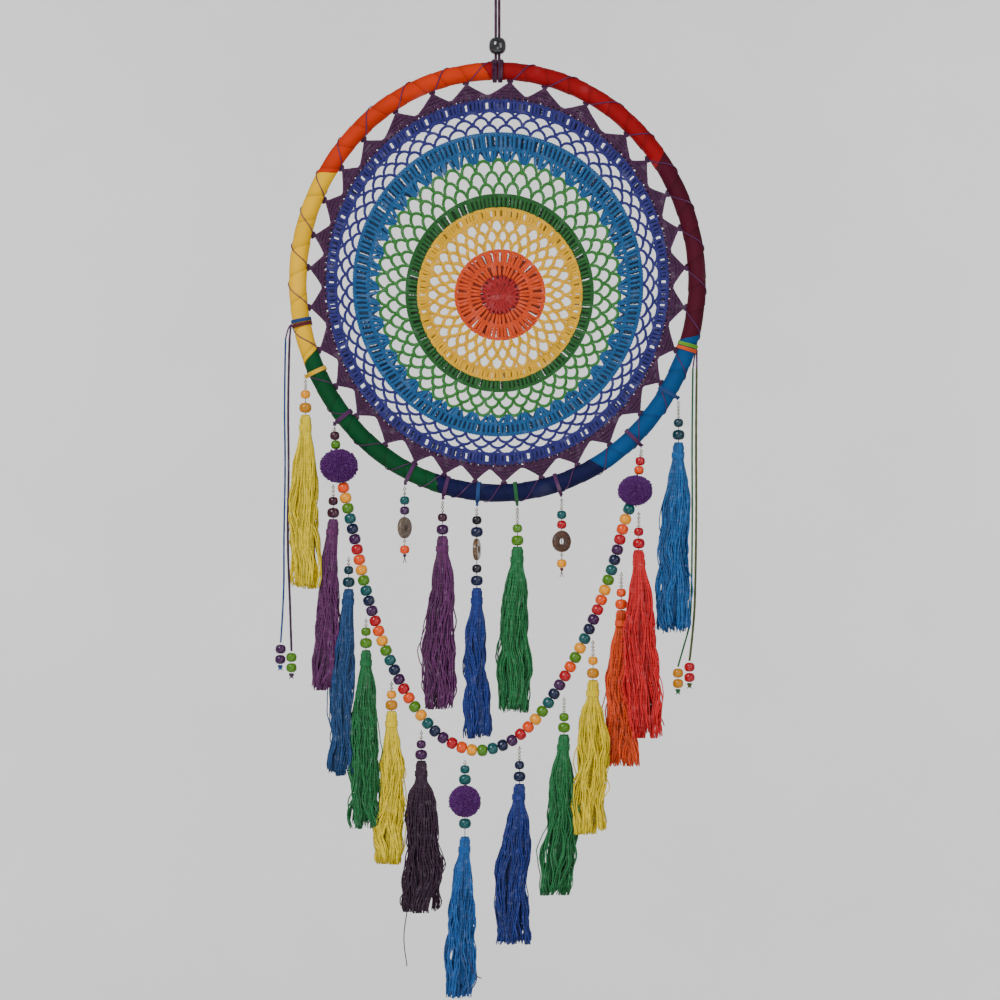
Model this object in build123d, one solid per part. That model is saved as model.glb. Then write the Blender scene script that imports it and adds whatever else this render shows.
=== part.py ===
"""Hanging dream catcher: a ribbon-wrapped hoop with a crocheted web, tasselled strands and a bead garland.

Millimetres, +Z up, +X to the right, front towards -Y. The origin is the top of the hanging loop, and
the hoop hangs in the plane y = 0. Strands are worked out from their knots down: every "drop" is a
distance below the strand's own knot.
"""

import math
import os

from build123d import *

os.makedirs("parts", exist_ok=True)

# Hoop: a steel ring, slightly taller than wide, wrapped in ribbon.
HOOP_WIDTH = 313.0
HOOP_HEIGHT = 330.0
HOOP_Z = -256.5
TUBE_R = 6.75
CORE_R = 4.0
CORE_GAP = 0.02

# Crocheted web: a flat disc of yarn, with shell points that reach the hoop.
WEB_THICKNESS = 1.8
WEB_BODY_GAP = 14.5
WEB_TIP_HALF_ANGLE = 0.8
TIP_ANGLES = [
    4, 15, 25, 36, 45, 61, 75, 86, 100, 111, 124, 137, 147, 157, 167, 176,
    187, 199, 210, 220, 232, 243, 253, 263, 272, 284, 296, 308, 321, 331, 341, 353,
]
LASH_R = 0.45
LASH_LEAN = 42.0
LASH_FIT = 0.35
LASH_BACK = 3.0
LASH_CLEAR = 4.5

# Ribbon colours, each from one angle to another, counted from +X towards +Z.
RIBBONS = {
    "ribbon_red": (35.8, 95.6),
    "ribbon_orange": (95.6, 152.1),
    "ribbon_yellow": (152.1, 202.0),
    "ribbon_green": (202.0, 253.9),
    "ribbon_navy": (253.9, 303.8),
    "ribbon_blue": (303.8, 347.4),
    "ribbon_burgundy": (347.4, 395.8),
}
RIBBON_SEAM = 0.02

# Threads, beads and ties.
THREAD_R = 0.45
BORE_R = 0.6
BODY_GAP = 0.3
THREAD_GAP = 0.25
SEED_SIZE = (2.6, 2.2)
SMALL_BEAD = (7.4, 6.6)
LARGE_BEAD = (9.4, 7.8)
TIE_THICKNESS = 1.3
TIE_WIDTH = 3.6
KNOT_R = 1.4
KNOT_REACH = TUBE_R + TIE_THICKNESS + KNOT_R + 0.15

# Hanging cord, its bead and its hitch round the hoop.
CORD_R = 1.1
CORD_HALF_GAP = 1.3
LOOP_R = 7.6
LOOP_HALF_WIDTH = 8.0
LOOP_NECK_Z = -40.0
LOOP_SHOULDER_Z = -20.0
HANG_BEAD_Z = -79.5
HANG_BEAD = (13.1, 14.2)
HANG_BORE_R = 2.6
HITCH_BAND = 3.6
HITCH_HALF_GAP = 0.6
HITCH_THICKNESS = 2.0

# Garland: a thread from one pompom strand to the other, full of wooden beads. Its route is given
# between the two knots on the hoop, as (x, z).
GARLAND_BEAD = (9.0, 7.7)
GARLAND_PITCH = 7.9
GARLAND_COUNT = 59
GARLAND_BORE_R = 0.95
GARLAND_CORD_R = 0.5
GARLAND_FIRST_BEAD = 46.15
GARLAND_ROUTE = [
    (-120.6, -386.0), (-113.6, -420.0), (-105.4, -456.0), (-97.9, -492.0), (-84.4, -532.5),
    (-65.6, -571.5), (-43.1, -598.5), (-16.9, -609.8), (9.4, -603.0), (31.9, -582.0),
    (55.1, -545.3), (74.6, -504.8), (88.1, -465.0), (94.9, -436.5), (104.2, -412.0),
]
LEFT_POMPOM = (28.0, 24.6)
RIGHT_POMPOM = (25.5, 22.0)
SMALL_POMPOM = (23.4, 23.6)
POMPOM_BORE_R = 1.5

# Drops of the beads above and below the two pompoms, measured along the garland's thread.
LEFT_POMPOM_DROP = 29.5
RIGHT_POMPOM_DROP = 31.7
LEFT_BEAD_DROPS = (6.6, 13.4)
RIGHT_BEAD_DROPS = (9.4, 16.2)

# Strands tied to the hoop: name -> angle of the tie.
HOOP_TIES = {
    "yellow_left": 204.2,
    "pompom_left": 217.9,
    "left_charm": 243.0,
    "violet_upper": 254.4,
    "blue_upper": 264.2,
    "green_upper": 275.6,
    "right_charm": 288.3,
    "pompom_right": 314.9,
    "azure_right": 329.8,
}
# Wider thread wraps that hold the two loose cords at the sides of the hoop.
SIDE_WRAPS = {"left": 190.7, "right": 342.8}
SIDE_WRAP_WIDTH = 6.5

# Knots of the strands that hang from the garland: name -> (x, z).
GARLAND_KNOTS = {
    "violet_low": (-123.2, -408.4),
    "blue_low": (-111.6, -462.8),
    "green_low": (-98.6, -508.5),
    "yellow_low": (-79.5, -555.8),
    "plum_low": (-57.2, -592.5),
    "azure_low": (-24.4, -615.0),
    "royal_low": (16.5, -604.5),
    "green_right": (49.9, -567.8),
    "yellow_right": (71.6, -525.0),
    "orange_right": (92.8, -474.0),
    "red_right": (105.9, -428.6),
}

# Tassels: name -> (drops of the beads, tassel's top, tassel's end, width at the neck, width at the
# end, how far the end leans in x, how far it leans in y).
TASSELS = {
    "yellow_left": ((11.3, 21.4), 26.8, 155.3, 8.8, 19.0, -0.5, 0.0),
    "violet_upper": ((12.7, 21.8), 26.6, 154.8, 9.0, 24.0, -2.4, 0.0),
    "blue_upper": ((9.9, 18.7), 60.8, 172.0, 8.2, 19.0, -1.0, 0.0),
    "green_upper": ((16.0, 25.0), 29.8, 152.5, 9.2, 24.0, -4.2, 0.0),
    "azure_right": ((16.5, 25.5), 31.2, 172.5, 8.6, 22.4, -5.0, 0.0),
    "violet_low": ((12.4, 21.2), 26.0, 152.6, 8.4, 15.5, -8.9, 0.0),
    "blue_low": ((9.8, 18.8), 24.0, 162.0, 8.4, 16.0, -8.0, 0.0),
    "green_low": ((10.2, 18.8), 24.2, 156.0, 8.4, 19.5, -1.6, 0.0),
    "yellow_low": ((10.2, 18.0), 22.6, 135.8, 8.6, 17.5, -1.0, 0.0),
    "plum_low": ((10.7, 18.5), 23.2, 135.0, 8.4, 27.0, 0.5, 0.0),
    "azure_low": ((7.0, 14.6), 57.6, 176.3, 8.2, 20.0, -5.6, 0.0),
    "royal_low": ((14.3, 22.9), 28.6, 147.0, 9.0, 26.0, -7.0, 0.0),
    "green_right": ((15.0, 22.8), 28.2, 147.0, 9.0, 24.0, -6.4, 0.0),
    "yellow_right": ((15.5, 24.8), 30.2, 144.0, 8.8, 24.0, -2.6, 0.0),
    "orange_right": ((15.5, 24.2), 28.8, 144.8, 8.6, 21.0, 0.8, 9.0),
    "red_right": ((15.2, 24.0), 29.0, 167.6, 8.6, 24.0, 3.2, -9.0),
}
TASSEL_DEPTH = 0.66
NECK_LENGTH = 10.0
SHOULDER_SHARE = 0.32
SHOULDER_WIDTH = 0.86

# Extra pieces on two of the strands, as drops below the knot.
BLUE_RING_DROP = 31.8
BLUE_LOWER_BEADS = (46.2, 55.2)
AZURE_POMPOM_DROP = 31.0
AZURE_LOWER_BEAD = 47.6

# Coconut shell rings on the charms and on one strand, turned about the strand.
RING_R = 8.1
RING_HOLE_R = 2.6
RING_THICKNESS = 3.4
RING_ROUND = 1.0
CHARMS = {
    "left_charm": {"beads": (11.0, 18.6), "ring": 31.4, "silver": 41.6, "last": 47.9, "end": 58.0, "turn": 58},
    "right_charm": {"beads": (12.8, 20.2), "ring": 32.8, "silver": 43.0, "last": 49.3, "end": 59.5, "turn": 35},
}
BLUE_RING_TURN = 78

# Loose cords at the sides, from the wrap to the beads at their ends, as (x, z) routes at one depth.
SIDE_CORD_Y = 0.0
SIDE_CORDS = {
    "left": {
        "cords": [
            (1.0, [(-155.9, -299.0), (-157.3, -345.0), (-156.4, -395.0), (-157.6, -450.0), (-155.6, -496.0),
                   (-154.5, -533.2)]),
            (0.8, [(-158.9, -299.0), (-160.0, -345.0), (-159.0, -395.0), (-160.3, -450.0), (-160.0, -492.0),
                   (-162.6, -527.0)]),
        ],
        "beads": [((-154.5, -538.0), (-154.5, -545.8)), ((-162.6, -531.8), (-162.9, -539.6))],
    },
    "right": {
        "cords": [
            (0.8, [(146.6, -321.5), (145.8, -370.0), (146.2, -425.0), (145.8, -475.0), (144.8, -513.0),
                   (139.0, -532.0), (135.4, -545.0)]),
            (1.0, [(149.4, -321.5), (148.8, -370.0), (149.2, -425.0), (148.6, -475.0), (147.6, -512.0),
                   (144.0, -540.5)]),
        ],
        "beads": [((135.4, -549.8), (135.4, -557.6)), ((144.0, -545.3), (144.0, -553.1))],
    },
}
END_BEAD = (8.0, 7.4)


def oval_side(angle):
    """Centre (x, z) and radius of the outer arc of the hoop whose outward normal points at angle."""
    a, b = HOOP_WIDTH / 2, HOOP_HEIGHT / 2
    shift = (b - a) / (2 - math.sqrt(2))
    c, s = math.cos(math.radians(angle)), math.sin(math.radians(angle))
    if abs(c) >= abs(s):
        return (-math.copysign(shift, c), HOOP_Z), a + shift
    return (0.0, HOOP_Z + math.copysign(shift, s)), b - shift


def oval(angle, offset=0.0):
    """The point (x, z) on the hoop's outer edge, or offset outwards from it, with that normal."""
    (cx, cz), radius = oval_side(angle)
    turn = math.radians(angle)
    return cx + (radius + offset) * math.cos(turn), cz + (radius + offset) * math.sin(turn)


def at(x, z, y=0.0):
    return Vector(x, y, z)


def oval_arcs(start, end, offset):
    """The hoop's offset edge from one normal angle to another, as tangent arcs in the plane y = 0."""
    stops = [start] + [q for q in range(45, 720, 90) if start < q < end] + [end]
    arcs = []
    for low, high in zip(stops, stops[1:]):
        middle = (low + high) / 2
        (cx, cz), radius = oval_side(middle)
        points = []
        for angle in (low, middle, high):
            turn = math.radians(angle)
            points.append(at(cx + (radius + offset) * math.cos(turn), cz + (radius + offset) * math.sin(turn)))
        arcs.append(ThreePointArc(*points))
    return arcs


def tube(path, radius, inner=0.0):
    """A round tube along a wire or line, hollow where inner is given."""
    wire = path if isinstance(path, Wire) else Wire(path.edges())
    plane = Plane(origin=wire @ 0, z_dir=wire % 0)
    face = plane * Circle(radius)
    if inner:
        face -= plane * Circle(inner)
    return sweep(face, path=wire)


def along(angle):
    """A plane across the hoop's tube at an angle: its z axis runs along the hoop."""
    x, z = oval(angle, -TUBE_R)
    turn = math.radians(angle)
    outward = Vector(math.cos(turn), 0, math.sin(turn))
    forward = Vector(-math.sin(turn), 0, math.cos(turn))
    return Plane(origin=at(x, z), x_dir=outward, z_dir=forward)


def bead(size, bore, centre, axis=None):
    """A wooden bead: an ellipsoid of size (diameter, length) with a hole along its axis."""
    width, length = size
    outline = Ellipse(width / 2, length / 2)
    half = outline & Pos(width / 2, 0) * Rectangle(width, 2 * length)
    half -= Pos(bore / 2 - 1, 0) * Rectangle(bore + 2, 2 * length)
    solid = revolve(Plane.XZ * half, Axis.Z)
    return Plane(origin=centre, z_dir=axis or Vector(0, 0, 1)) * solid


def rod(x, y, high, low, radius):
    return Pos(x, y, (high + low) / 2) * Cylinder(radius, high - low)


def knot_place(name):
    """Centre (x, z) of the knot of a tie: it rests against the outside of the tie."""
    return oval(HOOP_TIES[name], KNOT_REACH - TUBE_R)


def strand_top(name):
    """Where a strand's own thread starts, (x, z), just below its knot."""
    if name in GARLAND_KNOTS:
        return GARLAND_KNOTS[name]
    x, z = knot_place(name)
    return x, z - KNOT_R - BODY_GAP


def seeds(x, top, first_bead_top):
    """The silver seed beads that fill the thread between a knot and the first bead."""
    width, length = SEED_SIZE
    room = top - 0.8 - first_bead_top
    count = int(room / (length + 0.1))
    step = room / count
    return [bead(SEED_SIZE, BORE_R, at(x, top - 0.8 - step * (i + 0.5))) for i in range(count)]


def tassel_body(x, z, row):
    """The yarn of a tassel: a neck, a swelling shoulder and a skirt that leans as it hangs."""
    top, end, neck, skirt, lean_x, lean_y = row[1:]
    length = end - top
    stations = [
        (0.0, neck * 0.9),
        (NECK_LENGTH / length, neck),
        (SHOULDER_SHARE, skirt * SHOULDER_WIDTH),
        (1.0, skirt),
    ]
    faces = []
    for share, width in stations:
        centre = at(x + lean_x * share, z - top - length * share, lean_y * min(1.0, 3 * share))
        ellipse = Ellipse(width / 2, width / 2 * (TASSEL_DEPTH if share > 0.2 else 1.0))
        faces.append(Plane(origin=centre, x_dir=(1, 0, 0), z_dir=(0, 0, 1)) * ellipse)
    return loft(faces, ruled=True)


def strand(name):
    """A strand's beads and, as one piece with its thread, its tassel."""
    row = TASSELS[name]
    x, z = strand_top(name)
    drops, top = row[0], row[1]
    first_top = z - drops[0] + SMALL_BEAD[1] / 2
    beads = seeds(x, z, first_top)
    beads.append(bead(SMALL_BEAD, BORE_R, at(x, z - drops[0])))
    beads.append(bead(LARGE_BEAD, BORE_R, at(x, z - drops[1])))
    extra = {}
    if name == "blue_upper":
        beads.append(bead(SMALL_BEAD, BORE_R, at(x, z - BLUE_LOWER_BEADS[0])))
        beads.append(bead(LARGE_BEAD, BORE_R, at(x, z - BLUE_LOWER_BEADS[1])))
        extra["blue_upper_ring"] = coconut_ring(x, z - BLUE_RING_DROP, BLUE_RING_TURN)
    if name == "azure_low":
        beads.append(bead(LARGE_BEAD, BORE_R, at(x, z - AZURE_LOWER_BEAD)))
        extra["azure_low_pompom"] = bead(SMALL_POMPOM, POMPOM_BORE_R, at(x, z - AZURE_POMPOM_DROP))
    thread = rod(x, 0, z, z - top - 1, THREAD_R)
    return beads, thread + tassel_body(x, z, row), extra


def coconut_ring(x, z, turn):
    """A flat coconut shell ring that stands upright, drilled across so that it turns on its thread."""
    disc = Cylinder(RING_R, RING_THICKNESS)
    disc = fillet(disc.edges(), RING_ROUND)
    disc -= Cylinder(RING_HOLE_R, 2 * RING_THICKNESS)
    disc = Rot(90, 0, 0) * disc
    disc -= Cylinder(BORE_R, 3 * RING_R)
    return Pos(x, 0, z) * Rot(0, 0, turn) * disc


def charm(name):
    """A short strand: beads above and below a coconut ring, and a knotted thread through them all."""
    row = CHARMS[name]
    x, z = strand_top(name)
    first_top = z - row["beads"][0] + SMALL_BEAD[1] / 2
    beads = seeds(x, z, first_top)
    beads += [bead(SMALL_BEAD, BORE_R, at(x, z - drop)) for drop in row["beads"]]
    beads.append(bead(SEED_SIZE, BORE_R, at(x, z - row["silver"])))
    beads.append(bead(SMALL_BEAD, BORE_R, at(x, z - row["last"])))
    thread = rod(x, 0, z - THREAD_GAP, z - row["end"], THREAD_R)
    end_knot_z = z - row["last"] - SMALL_BEAD[1] / 2 - 1.2
    thread += Pos(x, 0, end_knot_z) * Sphere(1.1)
    return beads, thread, coconut_ring(x, z - row["ring"], row["turn"])


def corner_radii(points):
    """The largest arc that fits at each inner corner of a route: 0.45 of the shorter run."""
    radii = []
    for before, here, after in zip(points, points[1:], points[2:]):
        turn = math.radians((here - before).get_angle(after - here))
        shorter = min((here - before).length, (after - here).length)
        radii.append(0.45 * shorter / math.tan(turn / 2))
    return radii


def routed(points, name):
    """A smooth path of straight runs and tangent arcs; it prints the radii of its bends."""
    radii = corner_radii(points)
    print(name, "bend radii", [round(r) for r in radii])
    return Wire(FilletPolyline(*points, radius=radii).edges())


def hanging_cord():
    """The suede cord: a loop for a hook, two legs side by side, and a hitch of two turns round the hoop."""
    hoop_top = HOOP_Z + HOOP_HEIGHT / 2
    leg_end = hoop_top + HITCH_THICKNESS / 2
    side = [
        at(CORD_HALF_GAP, leg_end),
        at(CORD_HALF_GAP, LOOP_NECK_Z),
        at(LOOP_HALF_WIDTH, LOOP_SHOULDER_Z),
        at(LOOP_HALF_WIDTH, -CORD_R),
    ]
    points = [Vector(-p.X, p.Y, p.Z) for p in side] + side[::-1]
    radii = corner_radii(points)
    radii[2] = LOOP_R
    radii[3] = LOOP_R
    print("hanging_cord bend radii", [round(r) for r in radii])
    path = Wire(FilletPolyline(*points, radius=radii).edges())
    cord = tube(path, CORD_R)
    inner = TUBE_R + BODY_GAP
    centre_z = hoop_top - TUBE_R
    ring = Rot(0, 90, 0) * (Cylinder(inner + HITCH_THICKNESS, HITCH_BAND) - Cylinder(inner, HITCH_BAND))
    hitch = [Pos(side_x * (HITCH_HALF_GAP + HITCH_BAND / 2), 0, centre_z) * ring for side_x in (-1, 1)]
    bridge_z = hoop_top + BODY_GAP + HITCH_THICKNESS - 0.4
    bridge = Pos(0, 0, bridge_z) * Box(2 * (HITCH_HALF_GAP + HITCH_BAND), 3.0, 0.8)
    return cord + hitch[0] + hitch[1] + bridge


def hoop_core():
    """The steel ring inside the ribbon, as four tangent arcs closed on themselves."""
    wire = Wire([arc.edge() for arc in oval_arcs(45, 405, -TUBE_R)])
    plane = Plane(origin=wire @ 0, z_dir=wire % 0)
    return sweep(plane * Circle(CORE_R), path=wire)


def ribbon(start, end):
    """One colour of ribbon, wound round the steel ring along a stretch of the hoop."""
    arcs = oval_arcs(start + RIBBON_SEAM, end - RIBBON_SEAM, -TUBE_R)
    wire = Wire([arc.edge() for arc in arcs])
    return tube(wire, TUBE_R, CORE_R + CORE_GAP)


def web():
    """The crocheted web: straight shell edges run from each tip on the hoop to the notch beside it."""
    inner_edge = -2 * TUBE_R - 0.05
    points = []
    following = TIP_ANGLES[1:] + [TIP_ANGLES[0] + 360]
    for tip, after in zip(TIP_ANGLES, following):
        points.append(oval(tip - WEB_TIP_HALF_ANGLE, inner_edge))
        points.append(oval(tip + WEB_TIP_HALF_ANGLE, inner_edge))
        points.append(oval((tip + after) / 2, inner_edge - WEB_BODY_GAP))
    outline = Polyline(*[at(x, z, WEB_THICKNESS / 2) for x, z in points], close=True)
    return extrude(make_face(outline.edges()), amount=WEB_THICKNESS, dir=(0, -1, 0))


def lashing():
    """The thread that ties each web tip to the hoop: one leaning turn round the ribbon for every tip."""
    inner = TUBE_R + LASH_FIT
    sleeve = Cylinder(inner + 2 * LASH_R, 4 * TUBE_R) - Cylinder(inner, 4 * TUBE_R)
    slab = Rot(0, LASH_LEAN, 0) * Box(60, 60, 2 * LASH_R)
    turn = sleeve & slab
    places = [angle - LASH_BACK for angle in TIP_ANGLES]
    return [along(place) * turn for place in places if not near_tie(place)]


def near_tie(angle):
    """Whether a tie, a side wrap or the hanging hitch already binds the hoop at this angle."""
    taken = list(HOOP_TIES.values()) + list(SIDE_WRAPS.values()) + [90]
    return any(abs(angle - t) < LASH_CLEAR for t in taken)


def band(angle, width):
    """A wrap of thread round the ribbon."""
    inner = TUBE_R + 0.1
    sleeve = Cylinder(inner + TIE_THICKNESS, width) - Cylinder(inner, width)
    return along(angle) * sleeve


def ties():
    """The ties of all the strands, each with its knot, and the two wider side wraps."""
    out = []
    for name, angle in HOOP_TIES.items():
        x, z = knot_place(name)
        out.append(band(angle, TIE_WIDTH) + Pos(x, 0, z) * Sphere(KNOT_R + 0.25))
    out += [band(angle, SIDE_WRAP_WIDTH) for angle in SIDE_WRAPS.values()]
    return out


def garland():
    """The garland's thread, its beads with those of the pompom strands, and the two pompoms."""
    left, right = strand_top("pompom_left"), strand_top("pompom_right")
    route = [(left[0], left[1] - THREAD_GAP), *GARLAND_ROUTE, (right[0], right[1] - THREAD_GAP)]
    path = routed([at(x, z) for x, z in route], "garland")
    cord = tube(path, GARLAND_CORD_R)
    length = path.length

    def threaded(distance, size, bore=GARLAND_BORE_R):
        share = distance / length
        return bead(size, bore, path @ share, path % share)

    beads = [threaded(GARLAND_FIRST_BEAD + GARLAND_PITCH * i, GARLAND_BEAD) for i in range(GARLAND_COUNT)]
    ends = (
        (LEFT_BEAD_DROPS, LEFT_POMPOM_DROP, LEFT_POMPOM, lambda drop: drop),
        (RIGHT_BEAD_DROPS, RIGHT_POMPOM_DROP, RIGHT_POMPOM, lambda drop: length - drop),
    )
    pompoms = []
    for bead_drops, pompom_drop, pompom_size, place in ends:
        first_top = bead_drops[0] - SMALL_BEAD[1] / 2
        count = int((first_top - 0.8) / (SEED_SIZE[1] + 0.1))
        step = (first_top - 0.8) / count
        beads += [threaded(place(0.8 + step * (i + 0.5)), SEED_SIZE, BORE_R) for i in range(count)]
        beads.append(threaded(place(bead_drops[0]), SMALL_BEAD, BORE_R))
        beads.append(threaded(place(bead_drops[1]), SMALL_BEAD, BORE_R))
        pompoms.append(threaded(place(pompom_drop), pompom_size))
    print("garland thread", round(length, 1), "mm")
    return cord, beads, pompoms


def side_cords(side):
    """Two loose cords at one side of the hoop, and the pair of beads and the knot at the end of each."""
    row = SIDE_CORDS[side]
    cords, beads = [], []
    for (radius, route), pair in zip(row["cords"], row["beads"]):
        points = [at(x, z, SIDE_CORD_Y) for x, z in route]
        path = routed(points, side + "_side_cord")
        cord = tube(path, radius)
        print(side, "cord volume", round(cord.volume), "of", round(math.pi * radius**2 * path.length))
        cords.append(cord)
        for x, z in pair:
            beads.append(bead(END_BEAD, radius + 0.1, at(x, z, SIDE_CORD_Y)))
        last_x, last_z = pair[-1]
        beads.append(Pos(last_x, SIDE_CORD_Y, last_z - END_BEAD[1] / 2 - 1.9) * Sphere(1.9))
    return cords, beads


def write(name, shape):
    """Write one node: a solid, or several separate solids as one compound."""
    solids = shape if isinstance(shape, list) else [shape]
    parts = []
    for solid in solids:
        parts += list(solid.solids())
    export_step(parts[0] if len(parts) == 1 else Compound(children=parts), f"parts/{name}.step")


def main():
    write("hanging_cord", hanging_cord())
    write("hanging_bead", bead(HANG_BEAD, HANG_BORE_R, at(0, HANG_BEAD_Z)))
    write("hoop_core", hoop_core())
    for name, (start, end) in RIBBONS.items():
        write(name, ribbon(start, end))
    write("crochet_web", web())
    write("lashing_thread", lashing())
    write("strand_ties", ties())
    cord, beads, pompoms = garland()
    write("garland_cord", cord)
    write("garland_beads", beads)
    write("garland_pompoms", pompoms)
    for name in TASSELS:
        beads, tassel, extra = strand(name)
        write(name + "_beads", beads)
        write(name + "_tassel", tassel)
        for extra_name, shape in extra.items():
            write(extra_name, shape)
    for name in CHARMS:
        beads, thread, ring = charm(name)
        write(name + "_beads", beads)
        write(name + "_thread", thread)
        write(name + "_ring", ring)
    for side in SIDE_CORDS:
        cords, beads = side_cords(side)
        write(side + "_side_cord", cords)
        write(side + "_cord_beads", beads)


main()
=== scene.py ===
"""The looks of the hanging dream catcher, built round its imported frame.

Lengths are in millimetres until a mesh is written, which scales them to metres. Places come from the
frame's own nodes: the hoop's oval, the ties, every bead and every tassel.
"""

import math

import bmesh
import bpy
import numpy as np
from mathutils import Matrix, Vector


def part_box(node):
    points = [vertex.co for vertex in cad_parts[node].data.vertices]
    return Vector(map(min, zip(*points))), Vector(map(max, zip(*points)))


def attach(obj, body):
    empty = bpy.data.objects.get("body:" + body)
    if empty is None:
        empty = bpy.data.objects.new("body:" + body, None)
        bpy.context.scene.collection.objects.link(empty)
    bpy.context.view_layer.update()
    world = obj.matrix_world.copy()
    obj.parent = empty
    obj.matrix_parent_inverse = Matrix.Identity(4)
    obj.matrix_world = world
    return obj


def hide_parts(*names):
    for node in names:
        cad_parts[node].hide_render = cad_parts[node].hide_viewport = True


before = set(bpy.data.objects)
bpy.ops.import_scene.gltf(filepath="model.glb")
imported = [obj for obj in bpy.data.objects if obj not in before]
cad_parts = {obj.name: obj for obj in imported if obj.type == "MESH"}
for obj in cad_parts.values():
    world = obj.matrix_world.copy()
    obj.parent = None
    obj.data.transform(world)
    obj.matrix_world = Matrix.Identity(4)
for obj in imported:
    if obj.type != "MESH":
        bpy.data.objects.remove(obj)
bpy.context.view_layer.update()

MM = 0.001
TURN = 2 * math.pi
FRONT = -1.0


# ---------------------------------------------------------------- colours

def srgb(r, g, b):
    """An 8-bit screen colour as the linear colour that a shader takes."""
    out = []
    for c in (r, g, b):
        c /= 255
        out.append(c / 12.92 if c <= 0.04045 else ((c + 0.055) / 1.055) ** 2.4)
    return tuple(out)


RIBBON_COLOURS = {
    "red": srgb(148, 6, 16), "orange": srgb(204, 50, 2), "yellow": srgb(248, 190, 0),
    "green": srgb(0, 74, 36), "navy": srgb(14, 18, 66), "blue": srgb(0, 74, 130), "burgundy": srgb(78, 6, 32),
}
WEB_COLOURS = {
    "red": srgb(178, 18, 24), "orange": srgb(236, 78, 4), "yellow": srgb(255, 196, 4),
    "dark_green": srgb(22, 104, 34), "light_green": srgb(48, 138, 48), "blue": srgb(0, 96, 158),
    "indigo": srgb(34, 34, 128), "purple": srgb(72, 6, 70),
}
TASSEL_COLOURS = {
    "yellow": srgb(255, 226, 0), "violet": srgb(104, 28, 100), "blue": srgb(0, 72, 132),
    "green": srgb(0, 122, 60), "azure": srgb(0, 96, 176), "plum": srgb(52, 6, 48),
    "royal": srgb(6, 44, 138), "orange": srgb(255, 84, 0), "red": srgb(240, 8, 24),
    "deep_blue": srgb(6, 48, 140), "sea_blue": srgb(0, 104, 178),
}
BEAD_COLOURS = {
    "red": srgb(172, 0, 20), "orange": srgb(228, 72, 0), "yellow": srgb(238, 152, 0),
    "gold": srgb(190, 124, 0), "lime": srgb(72, 122, 4), "teal": srgb(0, 78, 80),
    "dark_teal": srgb(0, 50, 62), "navy": srgb(8, 22, 58), "black": srgb(8, 10, 22),
    "purple": srgb(58, 8, 66), "maroon": srgb(56, 8, 36),
}
THREAD_COLOURS = {
    "purple": srgb(84, 22, 88), "yellow": srgb(244, 190, 4), "blue": srgb(6, 66, 132),
    "green": srgb(8, 100, 46), "dark_red": srgb(104, 8, 22), "orange": srgb(236, 92, 4),
    "lime": srgb(110, 176, 20), "olive": srgb(74, 84, 16), "plum": srgb(58, 14, 58),
}


# ---------------------------------------------------------------- meshes

def add_object(name, data):
    obj = bpy.data.objects.new(name, data)
    bpy.context.scene.collection.objects.link(obj)
    return obj


def mesh_piece(name, blocks, materials, sharp=None):
    """One mesh object from blocks of (points, faces, uv, material number), welded to nothing else.

    Faces are arrays with one row of point numbers a face; uv has the same shape with two numbers each.
    """
    points, loops, totals, uvs, slots = [], [], [], [], []
    start = 0
    for block_points, faces, uv, slot in blocks:
        block_points = np.asarray(block_points, float).reshape(-1, 3)
        points.append(block_points)
        for rows, row_uv in zip(faces, uv):
            loops.append((rows + start).ravel())
            totals.append(np.full(len(rows), rows.shape[1]))
            uvs.append(np.asarray(row_uv, float).reshape(-1, 2))
            slots.append(np.full(len(rows), slot))
        start += len(block_points)
    points = np.concatenate(points) * MM
    loops, totals = np.concatenate(loops), np.concatenate(totals)
    mesh = bpy.data.meshes.new(name)
    mesh.vertices.add(len(points))
    mesh.vertices.foreach_set("co", points.astype(np.float32).ravel())
    mesh.loops.add(len(loops))
    mesh.loops.foreach_set("vertex_index", loops.astype(np.int32))
    mesh.polygons.add(len(totals))
    starts = np.concatenate([[0], np.cumsum(totals)[:-1]])
    mesh.polygons.foreach_set("loop_start", starts.astype(np.int32))
    mesh.polygons.foreach_set("material_index", np.concatenate(slots).astype(np.int32))
    mesh.polygons.foreach_set("use_smooth", np.ones(len(totals), bool))
    mesh.update(calc_edges=True)
    mesh.validate()
    layer = mesh.uv_layers.new(name="wind")
    layer.uv.foreach_set("vector", np.concatenate(uvs).astype(np.float32).ravel())
    if sharp:
        mesh.set_sharp_from_angle(angle=math.radians(sharp))
    for item in materials:
        mesh.materials.append(item)
    return add_object(name, mesh)


def unit(v):
    """Each row of v at length one."""
    return v / np.maximum(np.linalg.norm(v, axis=-1, keepdims=True), 1e-9)


def frames(paths, ref=None):
    """Two directions across each path at each point, carried along it without twisting."""
    along = unit(np.gradient(paths, axis=1))
    first = along[:, 0]
    if ref is None:
        lies = np.abs(first[:, 1:2]) < 0.8
        ref = np.where(lies, np.array([0.0, 1.0, 0.0]), np.array([1.0, 0.0, 0.0]))
    side = np.broadcast_to(np.asarray(ref, float), first.shape).copy()
    across = np.empty_like(paths)
    for i in range(paths.shape[1]):
        t = along[:, i]
        side = unit(side - (side * t).sum(-1, keepdims=True) * t)
        across[:, i] = side
    return across, np.cross(along, across)


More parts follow.
